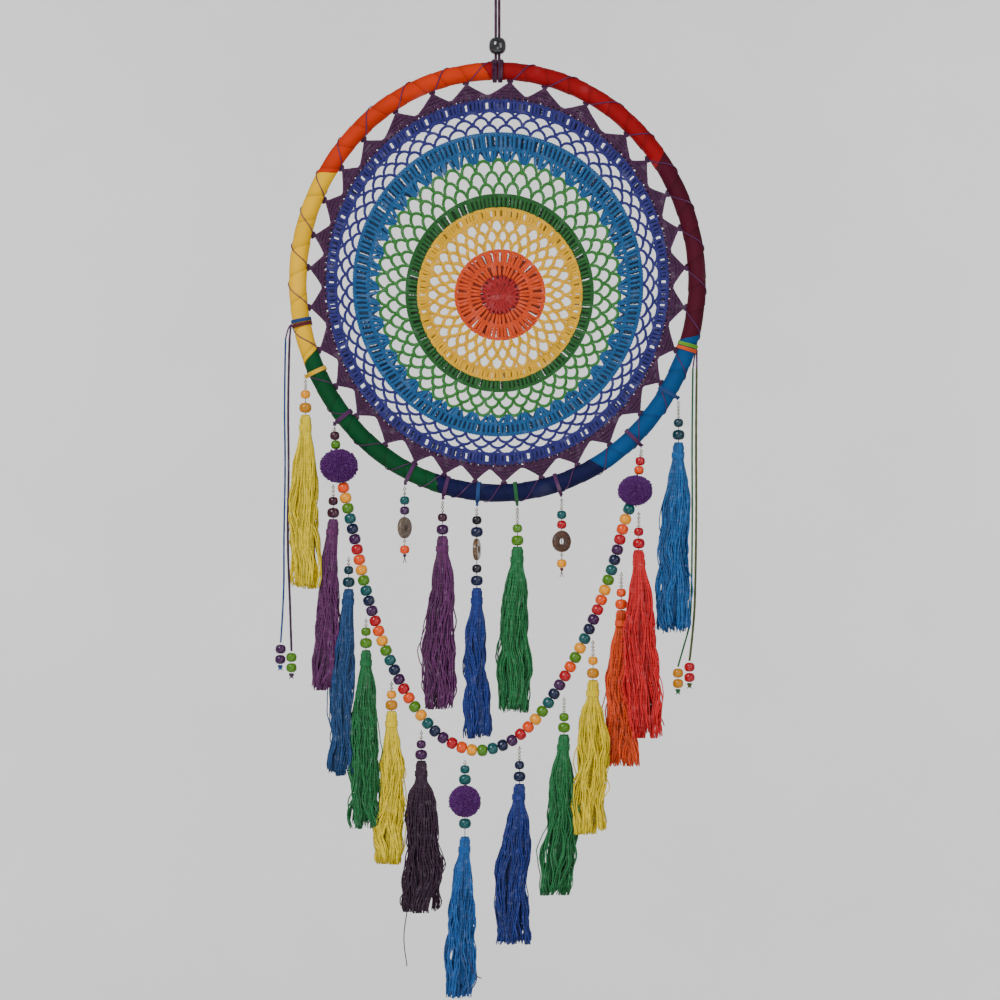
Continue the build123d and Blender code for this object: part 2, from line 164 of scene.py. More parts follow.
def tubes(paths, radius, sides=6, slot=0, flat=1.0, ref=None):
    """Round tubes along paths (count, points, 3), as one block; uv is (length along, turn about)."""
    paths = np.asarray(paths, float)
    if paths.ndim == 2:
        paths = paths[None]
    count, n, _ = paths.shape
    u, v = frames(paths, ref)
    radii = np.broadcast_to(np.asarray(radius, float), (count, n))[:, :, None, None]
    turn = np.arange(sides) * TURN / sides
    ring = np.cos(turn)[:, None] * u[:, :, None] + flat * np.sin(turn)[:, None] * v[:, :, None]
    points = paths[:, :, None] + radii * ring
    number = np.arange(count * n * sides).reshape(count, n, sides)
    a, d = number[:, :-1], number[:, 1:]
    b, c = np.roll(a, -1, axis=2), np.roll(d, -1, axis=2)
    quads = np.stack([a, b, c, d], -1).reshape(-1, 4)
    steps = np.linalg.norm(np.diff(paths, axis=1), axis=-1)
    length = np.concatenate([np.zeros((count, 1)), np.cumsum(steps, axis=1)], axis=1)
    low = np.broadcast_to(length[:, :-1, None], a.shape)
    high = np.broadcast_to(length[:, 1:, None], a.shape)
    near = np.broadcast_to(np.arange(sides) / sides, a.shape)
    far = near + 1 / sides
    uv = np.stack([low, near, low, far, high, far, high, near], -1).reshape(-1, 4, 2)
    ends = np.concatenate([number[:, 0, ::-1], number[:, -1]])
    return points, [quads, ends], [uv, np.zeros((len(ends), sides, 2))], slot


def plied(paths, spread, turns, count=2, phase=0.0):
    """Paths wound round the given ones, so that several thin strands make one cord."""
    paths = np.asarray(paths, float)
    if paths.ndim == 2:
        paths = paths[None]
    u, v = frames(paths)
    share = np.linspace(0, 1, paths.shape[1])[None, :, None]
    out = []
    for k in range(count):
        angle = TURN * (turns * share + k / count) + phase
        out.append(paths + spread * (np.cos(angle) * u + np.sin(angle) * v))
    return np.concatenate(out)


def three_ply(line, radius, turns, slot=0):
    """A cord of this radius, of three strands wound together."""
    return tubes(plied(line, radius * 0.48, turns, count=3), radius * 0.52, 6, slot)


def ring_block(outline, centre, axis, segments, slot=0):
    """A closed outline of (radius, height) turned about an axis through centre; uv is (height, turn)."""
    axis = unit(np.asarray(axis, float))
    helper = np.array([0.0, 1.0, 0.0]) if abs(axis[1]) < 0.9 else np.array([1.0, 0.0, 0.0])
    side = unit(np.cross(axis, helper))
    other = np.cross(axis, side)
    outline = np.asarray(outline, float)
    turn = np.arange(segments) * TURN / segments
    about = np.cos(turn)[:, None] * side + np.sin(turn)[:, None] * other
    points = centre + outline[:, 0, None, None] * about + outline[:, 1, None, None] * axis
    number = np.arange(len(outline) * segments).reshape(len(outline), segments)
    a, d = number, np.roll(number, -1, axis=0)
    b, c = np.roll(a, -1, axis=1), np.roll(d, -1, axis=1)
    quads = np.stack([a, d, c, b], -1).reshape(-1, 4)
    top = max(abs(outline[:, 1]).max(), 1e-6)
    low = np.broadcast_to(outline[:, 1, None] / top, a.shape)
    high = np.roll(low, -1, axis=0)
    near = np.broadcast_to(np.arange(segments) / segments, a.shape)
    far = near + 1 / segments
    uv = np.stack([low, near, high, near, high, far, low, far], -1).reshape(-1, 4, 2)
    return points, [quads], [uv], slot


def bead_outline(width, length, bore, steps=14):
    """The outline of a turned wooden bead: a full round belly, soft flats and a lip into the hole."""
    a, b = width / 2, length / 2
    reach = math.acos(min(1.0, ((bore + 0.3) / a) ** (1 / 0.66)))
    t = np.linspace(-reach, reach, steps)
    belly = np.stack([a * np.cos(t) ** 0.66, b * np.sign(t) * np.abs(np.sin(t)) ** 0.86], -1)
    top = belly[-1, 1]
    upper_lip = [(bore + 0.08, top * 0.985), (bore, top * 0.9)]
    lower_lip = [(r, -z) for r, z in reversed(upper_lip)]
    return np.concatenate([belly, upper_lip, [(bore, 0.0)], lower_lip])


# ---------------------------------------------------------------- materials

class Shader:
    """A material with one Principled shader and short ways to add the nodes that feed it."""

    def __init__(self, name, roughness, coat=0.0, metallic=0.0, specular=0.5):
        self.material = bpy.data.materials.new(name)
        self.material.use_nodes = True
        self.nodes = self.material.node_tree.nodes
        self.links = self.material.node_tree.links
        self.base = self.nodes["Principled BSDF"]
        self.base.inputs["Roughness"].default_value = roughness
        self.base.inputs["Coat Weight"].default_value = coat
        self.base.inputs["Coat Roughness"].default_value = 0.12
        self.base.inputs["Metallic"].default_value = metallic
        self.base.inputs["Specular IOR Level"].default_value = specular

    def put(self, value, socket):
        if isinstance(value, (int, float)):
            socket.default_value = value
        elif isinstance(value, tuple):
            socket.default_value = (*value, 1.0) if len(value) == 3 else value
        else:
            self.links.new(value, socket)

    def colour(self, value):
        self.put(value, self.base.inputs["Base Color"])

    def math(self, kind, a, b=0.0, clamp=False):
        node = self.nodes.new("ShaderNodeMath")
        node.operation = kind
        node.use_clamp = clamp
        self.put(a, node.inputs[0])
        self.put(b, node.inputs[1])
        return node.outputs[0]

    def place(self, stretch=(1.0, 1.0, 1.0)):
        """The place on the object, in metres times stretch."""
        where = self.nodes.new("ShaderNodeTexCoord").outputs["Object"]
        node = self.nodes.new("ShaderNodeMapping")
        node.inputs["Scale"].default_value = stretch
        self.links.new(where, node.inputs["Vector"])
        return node.outputs[0]

    def noise(self, scale, detail=2.0, stretch=(1.0, 1.0, 1.0)):
        node = self.nodes.new("ShaderNodeTexNoise")
        node.inputs["Scale"].default_value = scale
        node.inputs["Detail"].default_value = detail
        self.links.new(self.place(stretch), node.inputs["Vector"])
        return node.outputs["Fac"]

    def wind(self):
        """The two uv numbers of the surface."""
        node = self.nodes.new("ShaderNodeUVMap")
        node.uv_map = "wind"
        split = self.nodes.new("ShaderNodeSeparateXYZ")
        self.links.new(node.outputs[0], split.inputs[0])
        return split.outputs[0], split.outputs[1]

    def ramp(self, value, stops):
        node = self.nodes.new("ShaderNodeValToRGB")
        node.color_ramp.elements.remove(node.color_ramp.elements[1])
        for i, (at, colour) in enumerate(stops):
            stop = node.color_ramp.elements[0] if i == 0 else node.color_ramp.elements.new(at)
            stop.position = at
            stop.color = (*colour, 1.0)
        self.put(value, node.inputs[0])
        return node.outputs[0]

    def mix(self, share, a, b, kind="MIX"):
        node = self.nodes.new("ShaderNodeMix")
        node.data_type = "RGBA"
        node.blend_type = kind
        self.put(share, node.inputs["Factor"])
        self.put(a, node.inputs["A"])
        self.put(b, node.inputs["B"])
        return node.outputs["Result"]

    def bump(self, height, distance, strength=1.0):
        node = self.nodes.new("ShaderNodeBump")
        node.inputs["Distance"].default_value = distance
        node.inputs["Strength"].default_value = strength
        self.put(height, node.inputs["Height"])
        self.links.new(node.outputs[0], self.base.inputs["Normal"])

    def twist(self, pitch, plies):
        """0 to 1 across the plies of a twisted thread that turns once in pitch millimetres."""
        length, about = self.wind()
        along = self.math("MULTIPLY", length, TURN / pitch)
        round_it = self.math("MULTIPLY", about, TURN * plies)
        wave = self.math("SINE", self.math("ADD", along, round_it))
        return self.math("ADD", self.math("MULTIPLY", wave, 0.5), 0.5)


def shade(colour, factor):
    return tuple(min(1.0, c * factor) for c in colour)


def tint(colour, share):
    """The colour moved towards white by share."""
    return tuple(c + (1 - c) * share for c in colour)


def yarn(name, colour, pitch=2.4, roughness=0.78, depth=0.5, patch=90):
    """Twisted yarn: painted shade in the grooves between its plies, lighter fibres, and tone that drifts
    along it.
    """
    s = Shader(name, roughness, specular=0.12)
    ply = s.twist(pitch, 2)
    drift = s.noise(patch, 3)
    fibre = s.noise(2600, 3)
    tone = s.ramp(drift, [(0.3, shade(colour, 0.72)), (0.55, colour), (0.75, tint(colour, 0.1))])
    # Painted shade: the grooves between the plies are darkened towards 0.42 of the colour, as far as depth
    # sets.
    groove_shaded = s.mix(s.math("MULTIPLY", s.math("SUBTRACT", 1.0, ply), depth), tone, shade(colour, 0.42))
    s.colour(s.mix(s.math("MULTIPLY", fibre, 0.25), groove_shaded, tint(colour, 0.2)))
    s.bump(s.math("ADD", ply, s.math("MULTIPLY", fibre, 0.5)), 0.00022)
    return s.material


def ribbon_cloth(name, colour):
    """Stretched ribbon: a fine rib across it, soft wrinkles with painted shade in them, and painted shade
    along each lap's edge.
    """
    s = Shader(name, 0.62, specular=0.14)
    length, lap = s.wind()
    rib = s.math("SINE", s.math("MULTIPLY", length, TURN / 0.7))
    wrinkle = s.noise(150, 4, (1.0, 0.5, 1.0))
    drift = s.noise(28, 2)
    tone = s.ramp(drift, [(0.3, shade(colour, 0.8)), (0.6, colour), (0.8, tint(colour, 0.06))])
    # Painted shade: the colour darkens with the wrinkles that also make the bump.
    wrinkle_shaded = s.mix(s.math("MULTIPLY", wrinkle, 0.3), tone, shade(colour, 0.62))
    # Painted shade: the colour darkens towards each turn's lapped edge, under the next turn.
    edge = s.math("POWER", lap, 7.0, clamp=True)
    s.colour(s.mix(s.math("MULTIPLY", edge, 0.65), wrinkle_shaded, shade(colour, 0.3)))
    s.bump(s.math("ADD", s.math("MULTIPLY", rib, 0.12), wrinkle), 0.0004, 0.8)
    return s.material


def painted_wood(name, colour):
    """A glossy painted bead: thin paint over grain, rubbed off a little round the hole."""
    s = Shader(name, 0.24, coat=0.3, specular=0.3)
    height, _ = s.wind()
    grain = s.noise(700, 3, (1.0, 1.0, 0.25))
    tone = s.ramp(grain, [(0.3, shade(colour, 0.78)), (0.55, colour), (0.8, tint(colour, 0.07))])
    pole = s.math("ABSOLUTE", height)
    bare = s.math("GREATER_THAN", s.math("ADD", pole, s.math("MULTIPLY", grain, 0.12)), 1.035)
    s.colour(s.mix(bare, tone, srgb(150, 104, 60)))
    s.bump(grain, 0.00008, 0.6)
    return s.material


def silver_plate(name):
    """Small plated seed beads, slightly tarnished."""
    s = Shader(name, 0.24, metallic=1.0)
    dull = s.noise(900, 3)
    s.colour(s.ramp(dull, [(0.3, srgb(150, 146, 136)), (0.6, srgb(226, 222, 212))]))
    s.bump(dull, 0.00005)
    return s.material


def coconut(name, light, dark):
    """Polished coconut shell: dark brown with pale flecks and grain along the disc."""
    s = Shader(name, 0.34, coat=0.25)
    grain = s.noise(420, 5, (0.4, 1.0, 1.4))
    fleck = s.noise(1500, 2)
    tone = s.ramp(grain, [(0.32, dark), (0.55, shade(light, 0.7)), (0.72, light)])
    spots = s.math("GREATER_THAN", fleck, 0.66)
    s.colour(s.mix(s.math("MULTIPLY", spots, 0.5), tone, tint(light, 0.25)))
    s.bump(s.math("ADD", grain, s.math("MULTIPLY", fleck, 0.4)), 0.00018)
    return s.material


def suede(name, colour):
    """Suede lace: matt, with a brushed nap."""
    s = Shader(name, 0.92, specular=0.15)
    nap = s.noise(1900, 4, (1.0, 1.0, 0.45))
    drift = s.noise(160, 2)
    tone = s.ramp(drift, [(0.3, shade(colour, 0.7)), (0.7, tint(colour, 0.05))])
    s.colour(s.mix(s.math("MULTIPLY", nap, 0.45), tone, shade(colour, 0.4)))
    s.bump(nap, 0.0003)
    return s.material


def lacquer(name, colour):
    """A lacquered black bead with a few fine scratches."""
    s = Shader(name, 0.1, coat=0.8)
    drift = s.noise(240, 2)
    scratch = s.noise(1200, 2, (6.0, 1.0, 0.4))
    s.colour(s.ramp(drift, [(0.3, colour), (0.8, tint(colour, 0.03))]))
    s.bump(scratch, 0.00003, 0.5)
    return s.material


def wire_steel(name):
    """Brushed steel wire."""
    s = Shader(name, 0.38, metallic=1.0)
    brushed = s.noise(900, 3, (0.3, 1.0, 0.3))
    s.colour(s.ramp(brushed, [(0.3, (0.32, 0.32, 0.33)), (0.7, (0.62, 0.61, 0.6))]))
    s.bump(brushed, 0.00005)
    return s.material


THREADS = {name: yarn("thread_" + name, c, pitch=1.6, depth=0.5) for name, c in THREAD_COLOURS.items()}
BEADS = {name: painted_wood("bead_" + name, c) for name, c in BEAD_COLOURS.items()}
SILVER = silver_plate("silver_seed")


# ---------------------------------------------------------------- places from the frame

def span(nodes):
    """Lowest and highest corner of several nodes, in millimetres."""
    boxes = [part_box(n) for n in nodes]
    low = np.min([b[0] for b in boxes], axis=0) / MM
    high = np.max([b[1] for b in boxes], axis=0) / MM
    return low, high


HOOP_LOW, HOOP_HIGH = span(["ribbon_" + name for name in RIBBON_COLOURS])
HOOP_A, _, HOOP_B = (HOOP_HIGH - HOOP_LOW) / 2
HOOP_Z = (HOOP_HIGH[2] + HOOP_LOW[2]) / 2
TUBE_R = (HOOP_HIGH[1] - HOOP_LOW[1]) / 2
# The oval is four arcs; SHIFT is how far their centres lie from the hoop's middle.
SHIFT = (HOOP_B - HOOP_A) / (2 - math.sqrt(2))


def oval(angle, offset=0.0):
    """Points (x, z) on the hoop's outer edge, or offset outwards, where its normal has this angle."""
    angle = np.asarray(angle, float)
    c, s = np.cos(angle), np.sin(angle)
    side = np.abs(c) >= np.abs(s)
    cx = np.where(side, -np.copysign(SHIFT, c), 0.0)
    cz = np.where(side, 0.0, np.copysign(SHIFT, s))
    radius = np.where(side, HOOP_A + SHIFT, HOOP_B - SHIFT) + offset
    return cx + radius * c, HOOP_Z + cz + radius * s


def hoop_angle(x, z):
    """The normal angle, in radians, of the hoop's stretch nearest to a point."""
    x, z = np.asarray(x, float), np.asarray(z, float) - HOOP_Z
    end = np.arctan2(z - np.copysign(SHIFT, z), x)
    side = np.arctan2(z, x + np.copysign(SHIFT, x))
    return np.where(np.abs(np.cos(end)) < np.abs(np.sin(end)), end, side)


def on_tube(angle, about, radius):
    """Points round the hoop's tube: about is 0 at its inner edge, a quarter turn at its front."""
    x, z = oval(angle, -TUBE_R)
    outward = -np.cos(about) * radius
    y = FRONT * np.sin(about) * radius
    return np.stack([x + outward * np.cos(angle), y + 0 * x, z + outward * np.sin(angle)], -1)


def node_points(node):
    """The corners of a node's mesh, in millimetres."""
    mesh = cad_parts[node].data
    co = np.zeros(len(mesh.vertices) * 3)
    mesh.vertices.foreach_get("co", co)
    return co.reshape(-1, 3) / MM


def islands(node):
    """The separate solids of a node, as (centre, size) pairs in millimetres, from the top down."""
    work = bmesh.new()
    work.from_mesh(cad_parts[node].data)
    bmesh.ops.remove_doubles(work, verts=work.verts, dist=1e-6)
    left, found = set(work.verts), []
    while left:
        queue = [left.pop()]
        members = []
        while queue:
            vert = queue.pop()
            members.append(tuple(vert.co))
            for edge in vert.link_edges:
                other = edge.other_vert(vert)
                if other in left:
                    left.remove(other)
                    queue.append(other)
        cloud = np.array(members) / MM
        found.append(((cloud.min(0) + cloud.max(0)) / 2, cloud.max(0) - cloud.min(0)))
    work.free()
    return sorted(found, key=lambda item: -item[0][2])


def finish_piece(obj, body, nodes):
    """Fix a piece to its body, in place of the nodes that it stands for."""
    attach(obj, body)
    if nodes:
        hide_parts(*nodes)


# ---------------------------------------------------------------- hoop

WRAP = TURN / 52  # the angle of hoop that one turn of ribbon covers
LAP_SHARES = [0.0, 0.03, 0.12, 0.25, 0.4, 0.55, 0.7, 0.85, 0.96, 1.0]
RIBBON_STEP = 0.42
RIBBON_BASE = TUBE_R - 0.32
ROUND = 48


def ribbon_span(node):
    """The normal angles, in radians, at which a ribbon's stretch of hoop starts and ends."""
    cloud = node_points(node)
    angles = hoop_angle(cloud[:, 0], cloud[:, 2])
    middle = math.atan2(np.sin(angles).mean(), np.cos(angles).mean())
    away = (angles - middle + math.pi) % TURN - math.pi
    return middle + away.min(), middle + away.max()


def ribbon(colour):
    """A ribbon wound round the hoop in overlapping turns, each lap standing a little proud of the last."""
    node = "ribbon_" + colour
    start, end = ribbon_span(node)
    rng = np.random.default_rng(len(colour) + ord(colour[0]))
    about = np.linspace(0, TURN, ROUND + 1)
    wraps = (end - start) / WRAP
    blocks = []
    for k in range(int(math.ceil(wraps))):
        rows = [(k - 0.07, 0.0, RIBBON_BASE - 0.25)]
        puff = rng.uniform(0.7, 1.15)
        for f in LAP_SHARES:
            if k + f <= wraps + 1e-6:
                rows.append((k + f, f, RIBBON_BASE + RIBBON_STEP * puff * (1 - f) ** 0.8))
        last = rows[-1]
        if k + 1 > wraps:
            rows.append((last[0], 1.0, RIBBON_BASE - 2.2))
        grid, lap, length = [], [], []
        wobble = rng.uniform(0, TURN, 3)
        for at, f, radius in rows:
            swell = (0.05 * np.sin(3 * about + wobble[0] + 5 * f)
                     + 0.04 * np.sin(5 * about + wobble[1] - 9 * f))
            angle = start + WRAP * (at + about / TURN - 0.5)
            grid.append(on_tube(angle, about, radius + swell * (4 * f * (1 - f))))
            lap.append(np.full(ROUND + 1, f))
            length.append(about * TUBE_R)
        grid, lap, length = np.array(grid), np.array(lap), np.array(length)
        number = np.arange(grid.shape[0] * grid.shape[1]).reshape(grid.shape[:2])
        corners = [(slice(None, -1), slice(None, -1)), (slice(1, None), slice(None, -1)),
                   (slice(1, None), slice(1, None)), (slice(None, -1), slice(1, None))]
        quads = np.stack([number[c] for c in corners], -1).reshape(-1, 4)
        uv = np.stack([np.stack([length[c], lap[c]], -1) for c in corners], -2).reshape(-1, 4, 2)
        blocks.append((grid, [quads], [uv], 0))
    cloth = ribbon_cloth(node, RIBBON_COLOURS[colour])
    obj = mesh_piece(node + "_wrap", blocks, [cloth], sharp=50)
    finish_piece(obj, "hoop", [node])


def web_tips():
    """The hoop angles at which the web's points are tied, in radians, counted downwards."""
    cloud = node_points("crochet_web")
    inner_a, inner_b = HOOP_A - 2 * TUBE_R, HOOP_B - 2 * TUBE_R
    reach = np.hypot(cloud[:, 0] / inner_a, (cloud[:, 2] - HOOP_Z) / inner_b)
    edge = cloud[reach > 0.97]
    angles = np.unique(np.round(hoop_angle(edge[:, 0], edge[:, 2]), 4))
    tips, group = [], [angles[0]]
    for angle in angles[1:]:
        if angle - group[-1] < math.radians(3):
            group.append(angle)
        else:
            tips.append(np.mean(group))
            group = [angle]
    tips.append(np.mean(group))
    return sorted(tips, reverse=True)


def lashing(tips):
    """The purple thread that winds round the hoop, once for each point of the web."""
    following = tips[1:] + [tips[0] - TURN]
    path = []
    for here, after in zip(tips, following):
        about = np.linspace(0, TURN, 40, endpoint=False)
        front = np.clip(about / math.pi, 0, 1)
        back = np.clip(about / math.pi - 1, 0, 1)
        angle = here + (after - here) * (0.6 * front + 0.4 * back)
        path.append(on_tube(angle, about, TUBE_R + 0.34))
    path = np.concatenate(path)
    path = np.concatenate([path, path[:1]])
    obj = mesh_piece("lashing_thread_helix", [tubes(path, 0.4, 6)], [THREADS["purple"]])
    finish_piece(obj, "hoop", ["lashing_thread"])


def band_path(angle, width, turns, radius, offset=0.0):
    """A few neat turns of thread round the hoop's tube at an angle."""
    share = np.linspace(0, 1, int(turns * 36) + 1)
    about = share * turns * TURN
    across = (offset + width * (share - 0.5)) / (HOOP_A + HOOP_B) * 2
    return on_tube(angle + across, about, radius)


def knot_path(centre, size, turn=0.0):
    """A small closed trefoil, which is what a pulled knot of thread looks like."""
    t = np.linspace(0, TURN, 49)
    x = (np.sin(t) + 2 * np.sin(2 * t)) / 3
    y = np.sin(3 * t) / 2.2
    z = (np.cos(t) - 2 * np.cos(2 * t)) / 3
    c, s = math.cos(turn), math.sin(turn)
    return centre + size * np.stack([c * x - s * y, s * x + c * y, z], -1)


# The side cords: (thread, radius in millimetres, route (x, z) in metres from its top down).
SIDE_CORDS = {
    "left": [
        ("plum", 1.0, [(-0.1559, -0.2990), (-0.1573, -0.3450), (-0.1564, -0.3950), (-0.1576, -0.4500),
                       (-0.1556, -0.4960), (-0.1545, -0.5332)]),
        ("blue", 0.8, [(-0.1589, -0.2990), (-0.1600, -0.3450), (-0.1590, -0.3950), (-0.1603, -0.4500),
                       (-0.1600, -0.4920), (-0.1626, -0.5270)]),
    ],
    "right": [
        ("green", 0.8, [(0.1466, -0.3215), (0.1458, -0.3700), (0.1462, -0.4250), (0.1458, -0.4750),
                        (0.1448, -0.5130), (0.1390, -0.5320), (0.1354, -0.5450)]),
        ("olive", 1.0, [(0.1494, -0.3215), (0.1488, -0.3700), (0.1492, -0.4250), (0.1486, -0.4750),
                        (0.1476, -0.5120), (0.1440, -0.5405)]),
    ],
}
TIE_COLOURS = ["yellow", "purple", "purple", "purple", "blue", "green", "purple", "purple", "blue"]


def cord_stub(angle, cord_top):
    """The stretch of a side cord from the hoop's edge, out and down to the top of its free part."""
    x, z = oval(angle, 0.8)
    start = np.array([float(x), 0.0, float(z)])
    step = np.array([cord_top[0], 0.0, cord_top[1]]) / MM - start
    share = np.linspace(0, 1, 12)[:, None]
    return start + step * [1, 0, 0] * share ** 0.5 + step * [0, 0, 1] * share


def ties():
    """The thread ties of the strands, each with its knot, and the striped wraps that hold the side cords."""
    names = ["yellow", "purple", "blue", "green", "dark_red", "orange", "lime"]
    materials = [THREADS[n] for n in names]
    blocks = []
    solids = sorted(islands("strand_ties"), key=lambda item: item[0][0])
    wraps = [solids[0], solids[-1]]
    for colour, (centre, _) in zip(TIE_COLOURS, solids[1:-1]):
        angle = float(hoop_angle(centre[0], centre[2]))
        slot = names.index(colour)
        blocks.append(tubes(band_path(angle, 2.9, 4, TUBE_R + 0.62), 0.48, 6, slot))
        x, z = oval(angle, 2.0)
        blocks.append(tubes(knot_path(np.array([x, 0.0, z]), 1.5, angle), 0.5, 6, slot))
    stripes = [("blue", "dark_red"), ("orange", "lime")]
    for (centre, _), pair in zip(wraps, stripes):
        angle = float(hoop_angle(centre[0], centre[2]))
        for i, colour in enumerate(pair):
            path = band_path(angle, 2.6, 3, TUBE_R + 0.62, 3.2 * (i - 0.5))
            blocks.append(tubes(path, 0.5, 6, names.index(colour)))
        for _, radius, route in SIDE_CORDS["left" if centre[0] < 0 else "right"]:
            blocks.append(three_ply(cord_stub(angle, route[0]), radius, 4, names.index("purple")))
    obj = mesh_piece("strand_tie_threads", blocks, materials)
    finish_piece(obj, "hoop", ["strand_ties"])


# ---------------------------------------------------------------- crocheted web

YARN_R = 0.68
WEB_EDGE = HOOP_A - 2 * TUBE_R


def web_place(radius, angle, depth=0.0):
    """A place on the web: the inner rounds hang low and nearly round, the outer ones follow the hoop."""
    radius, angle = np.broadcast_arrays(np.asarray(radius, float), np.asarray(angle, float))
    t = np.clip((radius - 50) / 80, 0, 1)
    settle = 1 - t * t * (3 - 2 * t)
    stretch = np.interp(radius, [0, 34, 61, 88, 108, 128, WEB_EDGE], [1, 1, 1.05, 1.06, 1.046, 1.068, 1.06])
    x = 1.9 * settle + radius * np.cos(angle)
    z = HOOP_Z - 9.7 * settle + radius * stretch * np.sin(angle)
    return np.stack([x, np.broadcast_to(depth, x.shape) * FRONT, z], -1)


def braid(radius, stitches, width=1.05, depth=0.7):
    """The top edge of a round: three strands plaited round the web, one wave for every two stitches."""
    angle = np.linspace(0, TURN, stitches * 7 + 1)
    paths = []
    for k in range(3):
        wave = angle * (stitches // 2) + TURN * k / 3
        paths.append(web_place(radius + width * np.cos(wave), angle, depth * np.sin(2 * wave)))
    return tubes(np.array(paths), YARN_R, 6)


def posts(inner, outer, feet, rng, heads=None, twist=1.0, spread=0.62, points=9, back=0.0):
    """Stitch posts from their feet to their heads on the next round: three strands wound together.

    With back, they are that many millimetres behind the web's face and take the yarn painted in shade.
    """
    feet = np.asarray(feet, float)
    heads = feet if heads is None else np.asarray(heads, float)
    share = np.linspace(0, 1, points)[None]
    angle = feet[:, None] + (heads - feet)[:, None] * share + rng.normal(0, 0.4, (len(feet), 1)) / outer
    radius = inner + (outer - inner) * share + rng.normal(0, 0.2, (len(feet), 1))
    depth = 0.6 * np.sin(math.pi * share) + rng.normal(0, 0.3, (len(feet), 1)) - back
    line = web_place(radius, angle, depth)
    return tubes(plied(line, spread, twist, count=3, phase=rng.uniform(0, TURN)), YARN_R, 5, int(back > 0))


def worked(inner, outer, count, rng, phase=0.0, **how):
    """A closely worked round: posts on the web's face, and posts set behind and between them in the yarn
    painted in shade.
    """
    front = posts(inner, outer, spaced(count, phase), rng, **how)
    return [front, posts(inner, outer, spaced(count, phase + 0.5), rng, spread=0.85, back=1.5)]


def net_row(inner, outer, count, phase, rng, thick):
    """One row of chain loops: each springs from the top of a loop below and bows outwards."""
    share = np.linspace(0, 1, 31)
    paths = []
    for k in range(count):
        start = TURN * (k + phase + rng.normal(0, 0.02)) / count
        end = TURN * (k + 1 + phase + rng.normal(0, 0.02)) / count
        reach = (outer - inner) * (1 + rng.normal(0, 0.04))
        bow = np.sin(math.pi * share) ** 0.48
        angle = start + (end - start) * share
        paths.append(web_place(inner + reach * bow, angle, 0.5 * np.sin(math.pi * share)))
    return tubes(plied(np.array(paths), thick, 5), YARN_R, 5)


def net(rows, count, thick, rng):
    """Rows of chain loops, each shifted by half a loop from the one before."""
    return [net_row(inner, outer, count, 0.5 * i, rng, thick) for i, (inner, outer) in enumerate(rows)]


def spaced(count, phase=0.0):
    """Angles evenly spaced round the web."""
    return TURN * (np.arange(count) + phase) / count


def grouped(count, each, width, phase=0.0):
    """Angles of stitches in groups of each, every group filling width of its step."""
    offsets = np.linspace(-0.5, 0.5, each) * width * TURN / count
    return (spaced(count, phase)[:, None] + offsets).ravel()


def web_piece(colour, blocks):
    """One colour of the web, in its yarn and in the same yarn darkened as painted shade for the posts set
    behind.
    """
    tone = WEB_COLOURS[colour]
    # Painted shade: the second yarn is the colour at 0.3, for posts behind the face where the web's shade
    # falls.
    materials = [
        yarn("web_" + colour, tone, pitch=1.9, depth=0.65, patch=140),
        yarn("painted_shade_" + colour, shade(tone, 0.3), pitch=1.9, patch=140),
    ]
    obj = mesh_piece("web_" + colour, blocks, materials)
    finish_piece(obj, "hoop", ["crochet_web"])


def web_inner(rng):
    """The red centre and the orange, yellow and green rounds."""
    web_piece("red", [
        posts(0.3, 2.4, spaced(7), rng, back=0.8), braid(1.6, 8, 0.5),
        *worked(2.2, 5.4, 13, rng), braid(5.8, 22, 0.7), *worked(6.2, 10.2, 26, rng),
        braid(10.7, 34), *worked(11.2, 14.4, 26, rng, phase=0.5),
    ])
    web_piece("orange", [
        *worked(14.8, 22.6, 40, rng, twist=1.6), braid(23.4, 58),
        posts(24.2, 32.4, grouped(30, 2, 0.42), rng, twist=1.6, spread=0.78), braid(33.0, 60, 0.8),
        posts(24.2, 31.5, spaced(62), rng, spread=0.9, back=1.5),
    ])
    web_piece("yellow", [
        *net([(33.6, 41.0), (40.4, 47.8), (47.2, 54.8)], 33, 0.9, rng),
        braid(55.0, 90), posts(55.4, 60.6, grouped(30, 5, 0.76, 0.5), rng), braid(61.0, 140, 0.7),
        posts(55.4, 60.6, grouped(30, 4, 0.56, 0.5), rng, spread=0.75, back=1.5),
    ])
    web_piece("dark_green", [*worked(61.8, 68.8, 132, rng, twist=1.6), braid(69.4, 150, 0.9)])


def web_outer(rng):
    """The light green net, the blue shells, the indigo net and their borders."""
    web_piece("light_green", net([(70.0, 77.3), (76.5, 84.0), (83.2, 91.0)], 46, 0.8, rng))
    feet, heads = grouped(46, 4, 0.4), grouped(46, 4, 0.78)
    web_piece("blue", [
        posts(89.8, 97.8, feet, rng, heads=heads, twist=2.0, spread=0.7), braid(98.0, 180),
        posts(92.0, 97.8, feet, rng, heads=grouped(46, 4, 0.95), spread=0.9, back=1.5),
        *worked(98.6, 107.0, 178, rng, twist=1.8, spread=0.7), braid(107.6, 190),
    ])
    web_piece("indigo", [
        *net([(108.2, 113.2), (112.7, 117.5), (117.0, 121.4)], 56, 0.62, rng),
        braid(121.6, 170, 0.8), posts(122.0, 127.2, grouped(50, 5, 0.76, 0.5), rng, twist=1.6, spread=0.7),
        posts(122.0, 127.2, grouped(50, 4, 0.57, 0.5), rng, spread=0.85, back=1.5), braid(127.5, 200, 0.8),
    ])


